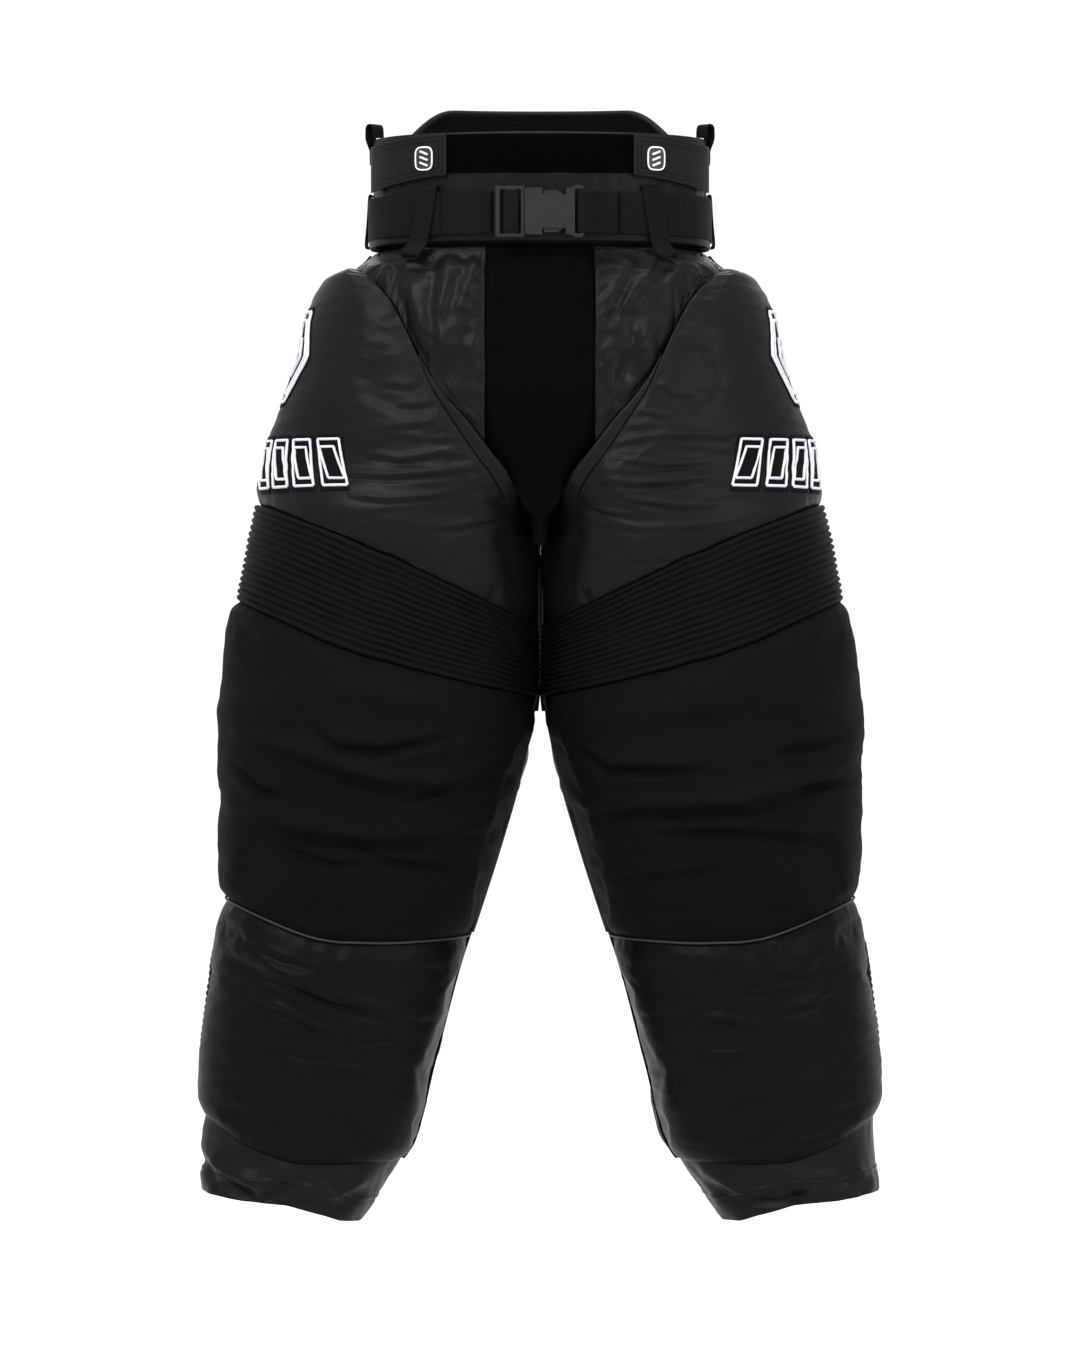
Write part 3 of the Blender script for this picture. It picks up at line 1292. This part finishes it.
def swept(name, centre, across, outward, section, scale=None):
    """A section of (across, outward) points carried along a line of points, closed at both ends."""
    count = len(section)
    section = np.array(section, float)
    if scale is None:
        scale = np.ones(len(centre))
    points = (
        centre[:, None]
        + across[:, None] * section[None, :, :1]
        + outward[:, None] * (section[None, :, 1:] * scale[:, None, None])
    )
    maps = np.stack(np.broadcast_arrays(run_along(centre)[:, None], run_along(section)[None, :]), -1)
    j, i = np.meshgrid(np.arange(len(centre) - 1), np.arange(count), indexing="ij")
    a, b = j * count + i, j * count + (i + 1) % count
    faces = np.stack([a, b, b + count, a + count], -1).reshape(-1, 4).tolist()
    last = (len(centre) - 1) * count
    faces += [list(range(count))[::-1], list(range(last, last + count))]
    far = np.full(len(centre) * count, NO_BORDER)
    piece = mesh_object(name, points.reshape(-1, 3), faces, maps.reshape(-1, 2), (far, far, far))
    form = bmesh.new()
    form.from_mesh(piece.data)
    bmesh.ops.recalc_face_normals(form, faces=form.faces)
    form.to_mesh(piece.data)
    form.free()
    return piece


def flat_section(width, thickness, steps=14):
    """A flat strap's section: a rectangle with round edges, and a few points across for its weave."""
    half, r = width / 2 - thickness / 2, thickness / 2
    across = np.linspace(-half, half, steps)
    round_end = [(half + r * math.sin(a), r * math.cos(a)) for a in np.linspace(0.5, math.pi - 0.5, 5)]
    top = [(x, r) for x in across]
    bottom = [(x, -r) for x in across[::-1]]
    other_end = [(-x, -y) for x, y in round_end]
    return top + round_end + bottom + other_end


def strap(name, centre, across, width, thickness, rib_pitch=0.0, rib_height=0.0):
    """A webbing strap along a line of points, with ribs across it where it has them."""
    tangent = unit(np.gradient(centre, axis=0))
    across = unit(across - (across * tangent).sum(-1, keepdims=True) * tangent)
    outward = np.cross(tangent, across)
    scale = np.ones(len(centre))
    if rib_pitch:
        scale = 1 + rib_height * np.cos(2 * math.pi * run_along(centre) / rib_pitch)
    return swept(name, centre, across, outward, flat_section(width, thickness), scale)


def round_section(radius, sides=10):
    turns = np.linspace(0, 2 * math.pi, sides, endpoint=False)
    return [(radius * math.cos(a), radius * math.sin(a)) for a in turns]


def line_on(skin, line, depth):
    """Points along a line of turns and heights, a depth outside the skin, with the outward directions."""
    turn, z = line[:, 0], line[:, 1]
    step = 0.004
    across = skin(turn + step, z) - skin(turn - step, z)
    along_z = skin(turn, z + 0.5) - skin(turn, z - 0.5)
    outward = unit(np.cross(across, along_z))
    return skin(turn, z) + outward * np.reshape(depth, (-1, 1)), outward


def laid(name, points, outward, section):
    """A section carried along a line that lies on a surface."""
    tangent = unit(np.gradient(points, axis=0))
    return swept(name, points, unit(np.cross(outward, tangent)), outward, section)


def cord_on(name, line, depth, radius):
    """A round piping cord along a line of the leg, with a depth for each point of the line."""
    even = evenly_on(leg_point, line, 4.0)
    depth = np.interp(np.linspace(0, 1, len(even)), np.linspace(0, 1, len(depth)), depth)
    points, outward = line_on(leg_point, even, depth)
    return laid(name, points, outward, round_section(radius))


def evenly_on(skin, line, spacing):
    """The same line with its points about spacing apart on the skin."""
    return spaced(line, run_along(skin(line[:, 0], line[:, 1])), spacing)


def put_on_side(piece, side):
    """Mirrors a piece in the middle plane when it is for the wearer's right."""
    if side < 0:
        piece.data.transform(((-1, 0, 0, 0), (0, 1, 0, 0), (0, 0, 1, 0), (0, 0, 0, 1)))
        piece.data.flip_normals()


# ---- Waist details ----------------------------------------------------------------------------------

TAB_TOP, TAB_BOTTOM, TAB_HEIGHT = (74, 66), (35, 24), 42  # a tab's edges at its loose and its sewn end


def tab_grid(first_x, last_x, inset, spacing):
    v, u = shares(round(TAB_HEIGHT / spacing) + 1, round((last_x - first_x) / spacing) + 1)
    x = mix(first_x, last_x, u)
    share = (x - TAB_FREE) / (TAB_ROOT - TAB_FREE)
    z = mix(mix(*TAB_TOP, share**2) - inset, mix(*TAB_BOTTOM, share**1.5) + inset, v)
    return body_point(body_turn(x, z), z)


def tabs(side):
    for name, grid, depth, material, slot, thickness in (
        ("side_tab", tab_grid(TAB_FREE, TAB_ROOT, 0, 2.0), -0.6, "tab", "satin", 2.0),
        ("tab_hook_patch", tab_grid(TAB_FREE + 4, 124, 4, 3.0), -3.0, "pile", "hook_and_loop", 1.0),
    ):
        soft = smooth_step(0, 3, measures(grid)[2])
        rise = depth - 0.5 * (1 - soft)
        if name == "side_tab":
            rise = rise + soft * 0.35 * waves(grid, 22, 70 + side, (1.6, 1.6, 0.7))
        outer = grid + normals_of(grid) * rise[..., None]
        inner = grid + normals_of(grid) * (depth - thickness)
        full = pair_name(name, side)
        piece = closed_panel(full, outer, inner, side)
        stand_in(piece, full, material)
        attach(piece, pair_name("tab", side))


def tab_badges(side):
    """A small plain badge: a raised rim round a panel with three slanting bars."""
    middle_x, middle_z, half_w, half_h = 107, 51, 7.6, 10.4
    turns = np.linspace(0, 2 * math.pi, 64, endpoint=False)
    rim_x = middle_x + half_w * signed_power(np.cos(turns), 0.55)
    rim_z = middle_z + half_h * signed_power(np.sin(turns), 0.55)
    parts = [ring_on_body("badge_rim", rim_x, rim_z, 1.5, 0.8, 1.0)]
    base_v, base_u = np.meshgrid(np.linspace(1, -1, 13), np.linspace(-1, 1, 11), indexing="ij")
    round_u = base_u * np.sqrt(1 - 0.32 * base_v**2)
    round_v = base_v * np.sqrt(1 - 0.32 * base_u**2)
    x, z = middle_x + half_w * round_u, middle_z + half_h * round_v
    grid = body_point(body_turn(x, z), z)
    outward = normals_of(grid)
    plate = closed_panel(pair_name("tab_badge", side), grid + outward * 1.1, grid + outward * 0.1)
    for shift in (-5.2, 0, 5.2):
        line_z = np.linspace(middle_z + shift - 1.6, middle_z + shift + 1.6, 9)
        line_x = np.linspace(middle_x - 3.6, middle_x + 3.6, 9)
        parts.append(bar_on_body("badge_bar", line_x, line_z, 1.9, 0.5, 1.2))
    plate.data.materials.append(MATERIALS["badge_ground"])
    white = joined(pair_name("tab_badge_marks", side), parts)
    white.data.materials.append(MATERIALS["badge_white"])
    for piece in (plate, white):
        put_on_side(piece, side)
        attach(piece, pair_name("tab", side))
    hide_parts(pair_name("tab_badge", side))


def body_line(x, z, depth):
    line = np.stack([body_turn(x, z), z + 0 * x], -1)
    return line_on(body_point, line, depth)


def bar_on_body(name, x, z, width, height, depth):
    points, outward = body_line(x, z, depth)
    return laid(name, points, outward, domed_section(width, height))


def ring_on_body(name, x, z, width, height, depth):
    """A raised ring that closes on itself."""
    points, outward = body_line(np.append(x, x[:2]), np.append(z, z[:2]), depth)
    tangent = unit(np.gradient(points, axis=0))
    tangent[0] = tangent[-2]
    tangent[-1] = tangent[1]
    return swept(
        name, points[:-1], unit(np.cross(outward, tangent))[:-1], outward[:-1], domed_section(width, height)
    )


def domed_section(width, height):
    """A low dome with a flat foot, as raised stitching has."""
    turns = np.linspace(0, math.pi, 7)
    dome = [(width / 2 * math.cos(a), height * math.sin(a) ** 0.8) for a in turns]
    return dome + [(-width / 2, -0.4), (width / 2, -0.4)]


def joined(name, parts):
    """Several meshes as one object."""
    with bpy.context.temp_override(active_object=parts[0], selected_editable_objects=parts):
        bpy.ops.object.join()
    parts[0].name = f"{name}_{PIECE}"
    return parts[0]


UPRIGHT = np.array([0.0, 0, 1])
BELT_MIDDLE = -4.4  # depth of the middle of the belt's webbing
BELT_WIDTH = 40
PLY = 1.9  # thickness of the webbing
TAIL_END, SLACK_START, ADJUSTER_END, SEWN_END = -146, -93, -44, 72  # places along the front of the belt


def belt_line(first, last, depth, wave=0.0):
    turns = np.linspace(first, last, 400)
    line = evenly_on(body_point, np.stack([turns, 0 * turns], -1), 3.0)
    points, _ = line_on(body_point, line, depth)
    run = np.linspace(0, 1, len(points))
    points[:, 2] += wave * np.sin(run * 9 + 1)
    return points


def front_turn(x):
    """The turn of a place across the front of the belt."""
    return float(body_turn(float(x), 0.0))


def belt():
    centre = belt_line(front_turn(SEWN_END + 1), 4 + front_turn(TAIL_END + 1), BELT_MIDDLE, 0.5)
    piece = strap("belt_webbing", centre, UPRIGHT, BELT_WIDTH - 0.6, PLY)
    finish_strap(piece, "belt_webbing")


def adjuster_part(name, start, end):
    """Two plies of webbing on each other, between two places across the front of the belt."""
    plies = []
    for depth in (BELT_MIDDLE + 0.05, BELT_MIDDLE + 2.3):
        centre = belt_line(front_turn(start), front_turn(end), depth)
        plies.append(strap(f"ply_{depth:.1f}", centre, UPRIGHT, BELT_WIDTH - 0.6, PLY))
    piece = joined(name, plies)
    dress(piece, "webbing")
    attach(piece, "trousers")
    return piece


def adjuster():
    """The belt's tail: the part behind the belt loop stays, and the slack by the clip gives way to it."""
    tail = adjuster_part("belt_adjuster", TAIL_END, SLACK_START)
    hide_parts("belt_adjuster")
    slack = adjuster_part("adjuster_slack", SLACK_START, ADJUSTER_END)
    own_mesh(slack)


def finish_strap(piece, node, body="trousers"):
    dress(piece, "webbing")
    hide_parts(node)
    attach(piece, body)


CLIP_LOOP = [
    (-42.8, -107.2), (-34.6, -113.2), (-33.4, -115), (-33.4, -123), (-32, -124.1), (-21.5, -124.1),
    (-20, -123), (-20, -115), (-21.5, -113.9), (-32.2, -113.9),
]
SEWN_LOOP = [
    (71.8, -101.9), (60, -104.5), (45, -111.5), (36.4, -114), (34.6, -115.4), (34.6, -122.8),
    (36.4, -124.2), (44.5, -123.6), (59.4, -108.2), (71.8, -104.1),
]


def buckle_straps():
    for name, loop, body in (("clip_webbing", CLIP_LOOP, "clip"), ("buckle_webbing", SEWN_LOOP, "trousers")):
        flat = evenly(loop, 1.2)
        centre = np.stack([flat[:, 0], flat[:, 1], 0 * flat[:, 0]], -1)
        piece = strap(name, centre, UPRIGHT, BELT_WIDTH - 0.8, 1.7)
        finish_strap(piece, name, body)


def upright_loop(path, turn, lean):
    """Centre line of a loop on the waist: path has (height, depth) points."""
    flat = evenly(path, 0.7)
    line = np.stack([turn + lean * flat[:, 0], flat[:, 0]], -1)
    points = line_on(body_point, line, flat[:, 1])[0]
    ahead = line_on(body_point, line + np.array([0.01, 0]), flat[:, 1])[0]
    return points, unit(ahead - points)


LOOP_THICKNESS, LOOP_RIB_PITCH = 1.3, 2.7
OVER_BELT, OVER_ADJUSTER = -2.2, 0.4  # depths of a loop's front over the belt alone and over the adjuster


def loop_path(low, over):
    """Round the belt, with low the loop's lower end and over the depth of its front."""
    return [(low + 2.6, -5.4), (low + 0.6, -4.8), (low + 0.9, over - 1.2), (low + 9, over), (20, over),
            (25.6, over - 0.8), (26.4, -4.4), (24.4, -5.4)]


def belt_loop(name, side, low, turn, lean, width, over):
    centre, across = upright_loop(loop_path(low, over), turn, lean)
    piece = strap(name, centre, across, width, LOOP_THICKNESS, LOOP_RIB_PITCH, 0.3)
    put_on_side(piece, side)
    finish_strap(piece, name)


def belt_loops():
    for side in (1, -1):
        over_front = OVER_ADJUSTER if side < 0 else OVER_BELT
        belt_loop(pair_name("belt_loop_front", side), side, -37, front_turn(107.5), -0.0006, 19, over_front)
        belt_loop(pair_name("belt_loop_side", side), side, -24, 1.065, 0.0, 17, OVER_BELT)
    belt_loop("belt_loop_back", 1, -24, 2.0, 0.0, 17, OVER_BELT)


HANGER_PATH = [(52, -4.9), (83, -4.9), (88.2, -6.2), (89.2, -10), (88.2, -13.9), (84, -15.1), (76, -15.1)]
HANGER_TURN, HANGER_TWIST = 0.935, math.radians(50)


def hanger_loops(side):
    """A loop over the waist's edge, which twists away from the skin on its way up."""
    centre, across = upright_loop(HANGER_PATH, HANGER_TURN, 0.0)
    twist = HANGER_TWIST * smooth_step(60, 78, centre[:, 2])
    axis = centre[:, :2].mean(0)
    turned = np.stack([np.cos(twist), -np.sin(twist), np.sin(twist), np.cos(twist)], -1).reshape(-1, 2, 2)
    centre[:, :2] = axis + np.einsum("nij,nj->ni", turned, centre[:, :2] - axis)
    across[:, :2] = np.einsum("nij,nj->ni", turned, across[:, :2])
    name = pair_name("hanger_loop", side)
    piece = strap(name, centre, across, 14, LOOP_THICKNESS, LOOP_RIB_PITCH, 0.2)
    put_on_side(piece, side)
    finish_strap(piece, name)


def buckle():
    """The buckle keeps its CAD nodes, with their edges rounded as a moulding's are."""
    for name in ("buckle_body", "buckle_clip", "buckle_prong_upper", "buckle_prong_lower"):
        node = NODES[name]
        node.data.materials.clear()
        node.data.materials.append(MATERIALS["plastic"])
        bevel = node.modifiers.new("rounded", "BEVEL")
        bevel.width = 0.0009
        bevel.segments = 3
        bevel.limit_method = "ANGLE"
        bevel.angle_limit = math.radians(35)
        bevel.harden_normals = True


# ---- Piping, patches and foam -----------------------------------------------------------------------

def pipings(side):
    """One cord down the inner leg, and one along the seam under the knee."""
    inner_leg = down_leg(INNER_SEAM + 0.03, CROTCH_BOTTOM, KNEE[0][-1, 1] + 4)
    inner_depth = mix(0.2 if side > 0 else 1.7, -2.4, smooth_step(-430, -446, inner_leg[:, 1]))
    lines = [
        ("inner_leg_piping", inner_leg, inner_depth, 1.5, ride_knee),
        ("knee_seam_piping", KNEE[3], -4.6 + 0 * KNEE[3][:, 0], 1.2, ride_shin),
    ]
    for name, line, depth, radius, ride in lines:
        piece = cord_on(pair_name(name, side), line, depth, radius)
        put_on_side(piece, side)
        dress(piece, "piping")
        ride(piece, side)


CROTCH_TIP, BAND_END = -292, -460
FORK_WIDTH, FORK_SHIFT = 11, 3.8
FORK_BEHIND = {1: 5.5, -1: 8.5}  # how far behind the seam each leg's tape lies


def fork_tapes(side):
    """A flat black tape behind the inner leg seam, from the crotch to the end of the accordion band."""
    line = evenly_on(leg_point, down_leg(INNER_SEAM, CROTCH_TIP, BAND_END), 3.0)
    centre = leg_point(line[:, 0], line[:, 1])
    centre[:, 0] = np.maximum(centre[:, 0], 0) + FORK_SHIFT
    centre[:, 1] += FORK_BEHIND[side]
    across = np.tile([1.0, 0, 0], (len(centre), 1))
    outward = np.tile([0, -1.0, 0], (len(centre), 1))
    piece = swept(pair_name("fork_tape", side), centre, across, outward, flat_section(FORK_WIDTH, 1.0))
    put_on_side(piece, side)
    dress(piece, "lining")
    ride_knee(piece, side)


PAD_STRIP_TOP, PAD_STRIP_BOTTOM, PAD_STRIP_DEPTH = -131, -296, -8


def pad_edge_strips(side):
    left = down_front(STRIP_EDGE, PAD_STRIP_TOP, PAD_STRIP_BOTTOM)
    right = down_front(PAD_EDGE, PAD_STRIP_TOP, PAD_STRIP_BOTTOM)
    borders = (left, right, np.stack([left[0], right[0]]), np.stack([left[-1], right[-1]]))
    grid = skin_grid(leg_point, borders, 3.0)
    edge = measures(grid)[2]
    wavy = 0.4 * waves(grid, 16, 81 + side) * smooth_step(0, 4, edge)
    rise = PAD_STRIP_DEPTH - 1.2 * np.exp(-edge / 2.5) + wavy
    outer = grid + normals_of(grid) * rise[..., None]
    name = pair_name("pad_edge_strip", side)
    piece = closed_panel(name, outer, outer - normals_of(grid) * 1.6, side)
    stand_in(piece, name, "satin")
    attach(piece, "trousers")


GUSSET_FRONT, GUSSET_BACK, GUSSET_Z, GUSSET_HALF = -95, 111, -284.4, 9.6
GUSSET_LOW, GUSSET_HIGH = 0.4, 2.2  # its two faces, above GUSSET_Z


def gusset():
    """The strip between the legs, which sags in the middle."""
    v, u = shares(41, 11, -1)
    y = mix(GUSSET_FRONT, GUSSET_BACK, v)
    uneven = 0.5 * waves(np.stack([u * 10, y, 0 * y], -1), 18, 5)
    z = GUSSET_Z - 2 * np.sin(math.pi * v) - 1.2 * u**2 + uneven
    outer = np.stack([u * GUSSET_HALF, y, z], -1)
    piece = closed_panel("crotch_gusset", outer + [0, 0, GUSSET_HIGH], outer + [0, 0, GUSSET_LOW])
    stand_in(piece, "crotch_gusset", "knit")
    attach(piece, "trousers")


FOAMS = [
    ("thigh_pad_foam", THIGH, 26, -8.5, -18.5, ride_knee),
    ("knee_foam", KNEE, 12, -8.5, -18.5, ride_knee),
    ("shin_foam", SHIN, 12, -8.5, -15.5, ride_shin),
]


def foams(side):
    """Foam slabs inside the padded panels, rounded off towards their borders."""
    for name, borders, inset, high, low, ride in FOAMS:
        grid = skin_grid(leg_point, borders, 9.0, inset)
        edge = measures(grid)[2]
        middle = (high + low) / 2
        outward = normals_of(grid)
        outer = grid + outward * puffed(edge, middle + 0.5, high, 10)[..., None]
        inner = grid + outward * puffed(edge, middle - 0.5, low, 10)[..., None]
        full = pair_name(name, side)
        piece = closed_panel(full, outer, inner, side)
        dress(piece, "foam")
        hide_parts(full)
        ride(piece, side)


def landed(points, outward, cover):
    """The points brought down onto the outer face of a settled panel."""
    tree = cover_trees[cover]
    reach = 25
    found = []
    for point, direction in zip(points + outward * reach, outward):
        hit = tree.ray_cast(Vector(point), Vector(-direction))[0]
        found.append(hit if hit else Vector(point - direction * reach))
    return np.array(found)


BASE_RISE = 0.9  # how high a patch's black base stands on its panel


def raised(name, cover, line, width, height):
    """A bar of raised satin stitch along a line of a settled panel, on its black base."""
    skin_points, outward = line_on(leg_point, evenly_on(leg_point, line, 1.6), 0)
    points = landed(skin_points, outward, cover) + outward * BASE_RISE
    return laid(name, points, outward, domed_section(width, height))


def closed_line(corners):
    return np.array(list(corners) + [corners[0]], float)


def lozenge(turn, z, half_turn, half_height):
    return [
        (turn - half_turn * 0.3, z + half_height), (turn + half_turn * 0.3, z + half_height),
        (turn + half_turn, z), (turn + half_turn * 0.3, z - half_height),
        (turn - half_turn * 0.3, z - half_height), (turn - half_turn, z),
    ]


UPPER_PATCH = (0.78, -131, 0.17, 44)  # turn and height of its middle, then half its width and height
UPPER_OUTLINES = ((0.95, 3.0), (0.78, 2.6), (0.4, 2.6))  # each outline's share of the patch and its width
BAR_COUNT = 4
BAR_START, BAR_PITCH, BAR_WIDTH, BAR_SLANT = 0.16, 0.165, 0.115, 0.085  # in turns of the leg
BAR_TOP, BAR_BOTTOM = -209, -253


def upper_patch(side):
    cover = pair_name("thigh_pad_cover", side)
    turn, z, half_turn, half_height = UPPER_PATCH
    base = applique(cover, lozenge(turn, z, half_turn * 1.06, half_height * 1.06))
    finish_base("thigh_base_upper", base, side)
    parts = []
    for share, width in UPPER_OUTLINES:
        outline = lozenge(turn, z, half_turn * share, half_height * share)
        parts.append(raised("outline", cover, closed_line(outline), width, 2.0))
    bar = np.array([(turn, z + half_height * 0.24), (turn, z - half_height * 0.24)])
    parts.append(raised("bar", cover, bar, 3.4, 2.0))
    finish_patch("thigh_patch_upper", parts, side)


def leaning_bar(number, grow):
    """Corners of one bar of the lower patch, grown by so many millimetres all round."""
    foot = BAR_START + number * BAR_PITCH
    low, high = BAR_BOTTOM - grow, BAR_TOP + grow
    wide = grow * 0.0026
    return [
        (foot - wide, low), (foot + BAR_WIDTH + wide, low),
        (foot + BAR_WIDTH + BAR_SLANT + wide, high), (foot + BAR_SLANT - wide, high),
    ]


def lower_patch(side):
    """Four bars that lean forward, each with two white outlines on a black base."""
    cover = pair_name("thigh_pad_cover", side)
    parts, bases = [], []
    for number in range(BAR_COUNT):
        bases.append(applique(cover, leaning_bar(number, 5)))
        for grow in (0, -7):
            parts.append(raised("outline", cover, closed_line(leaning_bar(number, grow)), 2.4, 1.9))
    finish_base("thigh_base_lower", joined("base", bases), side)
    finish_patch("thigh_patch_lower", parts, side)


def applique(cover, corners):
    """A raised black base under the embroidery, inside a closed outline of turns and heights."""
    corners = np.array(corners, float)
    middle = corners.mean(0)
    rings = []
    outline = evenly_on(leg_point, closed_line(corners), 4.0)[:-1]
    for share, lift in ((1.0, -0.8), (1.0, 0.5), (0.985, BASE_RISE), (0.6, BASE_RISE), (0.25, BASE_RISE)):
        line = middle + (outline - middle) * share
        skin_points, outward = line_on(leg_point, line, 0)
        rings.append(landed(skin_points, outward, cover) + outward * lift)
    skin_point, outward = line_on(leg_point, middle[None], 0)
    centre = landed(skin_point, outward, cover) + outward * BASE_RISE
    count = len(outline)
    points = np.concatenate([*rings, centre])
    faces = []
    for j in range(len(rings) - 1):
        for i in range(count):
            after = (i + 1) % count
            faces.append((j * count + i, j * count + after, (j + 1) * count + after, (j + 1) * count + i))
    last = (len(rings) - 1) * count
    faces += [(last + i, last + (i + 1) % count, len(points) - 1) for i in range(count)]
    faces.append(tuple(range(count))[::-1])
    far = np.full(len(points), NO_BORDER)
    return mesh_object("base", points, faces, points[:, [0, 2]], (far, far, far))


def finish_base(name, piece, side):
    put_on_side(piece, side)
    piece.name = f"{pair_name(name, side)}_{PIECE}"
    dress(piece, "rib")
    ride_knee(piece, side)


def finish_patch(name, parts, side):
    full = pair_name(name, side)
    piece = joined(full, parts)
    put_on_side(piece, side)
    dress(piece, "embroidery")
    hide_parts(full)
    ride_knee(piece, side)


# ---- Making everything ------------------------------------------------------------------------------

LENS, CAMERA_DISTANCE, CAMERA_HEIGHT = 150.7, 5.312, -0.426


def camera():
    data = bpy.data.cameras.new("camera")
    data.lens = LENS
    data.sensor_width = 36
    obj = bpy.data.objects.new("camera", data)
    bpy.context.scene.collection.objects.link(obj)
    obj.location = (0, -CAMERA_DISTANCE, CAMERA_HEIGHT)
    obj.rotation_euler = (math.pi / 2, 0, 0)
    bpy.context.scene.camera = obj


def area_light(name, place, target, size, power):
    data = bpy.data.lights.new(name, "AREA")
    data.shape = "RECTANGLE"
    data.size, data.size_y = size
    data.energy = power
    obj = bpy.data.objects.new(name, data)
    bpy.context.scene.collection.objects.link(obj)
    obj.location = place
    obj.rotation_euler = (Vector(target) - Vector(place)).to_track_quat("-Z", "Y").to_euler()


def bowl():
    """A pale floor that curves up into a wall all round."""
    floor_z, flat_radius, corner, wall_top = -1.06, 6.0, 6.0, 6.5
    profile = [(0.02, floor_z), (flat_radius, floor_z)]
    for turn in np.linspace(0.1, math.pi / 2, 12):
        profile.append((flat_radius + corner * math.sin(turn), floor_z + corner * (1 - math.cos(turn))))
    profile.append((flat_radius + corner, wall_top))
    around = np.linspace(0, 2 * math.pi, 97)[:-1]
    points = [(r * math.cos(a), r * math.sin(a), z) for r, z in profile for a in around]
    count = len(around)
    faces = [
        (j * count + i, j * count + (i + 1) % count, (j + 1) * count + (i + 1) % count, (j + 1) * count + i)
        for j in range(len(profile) - 1)
        for i in range(count)
    ]
    faces.append(tuple(reversed(range(count))))
    mesh = bpy.data.meshes.new("studio_bowl")
    mesh.from_pydata(points, [], faces)
    mesh.polygons.foreach_set("use_smooth", np.ones(len(mesh.polygons), bool))
    mesh.materials.append(stage_paper())
    stage = bpy.data.objects.new("studio_bowl", mesh)
    bpy.context.scene.collection.objects.link(stage)


# Each light's name, place, target, size and power.
LIGHTS = [
    ("key", (-1.3, -2.6, 2.3), (0, 0, -0.3), (1.6, 1.6), 90),
    ("fill", (2.2, -2.8, 1.0), (0, 0, -0.5), (1.8, 1.8), 40),
    ("top", (0, -0.3, 3.2), (0, 0, 0), (1.6, 1.2), 60),
    ("back", (0, 3.0, 1.8), (0, 0, -0.4), (2.4, 1.6), 60),
]


def studio():
    bowl()
    world = bpy.data.worlds.new("studio")
    world.use_nodes = True
    world.node_tree.nodes["Background"].inputs["Color"].default_value = (1, 1, 1, 1)
    world.node_tree.nodes["Background"].inputs["Strength"].default_value = 0.9
    bpy.context.scene.world = world
    for light in LIGHTS:
        area_light(*light)


def make_panels():
    listed = body_panels() + leg_panels(1) + leg_panels(-1)
    simulate([row[0] for row in listed])
    for panel, material, slot, ride in listed:
        piece = panel.finish()
        dress(piece, material)
        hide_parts(panel.name)
        panel.declare()
        ride(piece, panel.side)


PAIRS = (
    accordions, calf_patches, cuffs, foams, pad_edge_strips, fork_tapes, pipings, tabs, tab_badges,
    hanger_loops, upper_patch, lower_patch, leg_lining,
)
SINGLES = (body_lining, gusset, belt, adjuster, buckle_straps, belt_loops, buckle)


def make_trousers():
    make_panels()
    for side in (1, -1):
        for make_pair in PAIRS:
            make_pair(side)
    for make in SINGLES:
        make()


camera()
studio()
make_trousers()
bpy.context.scene.view_settings.view_transform = "Standard"
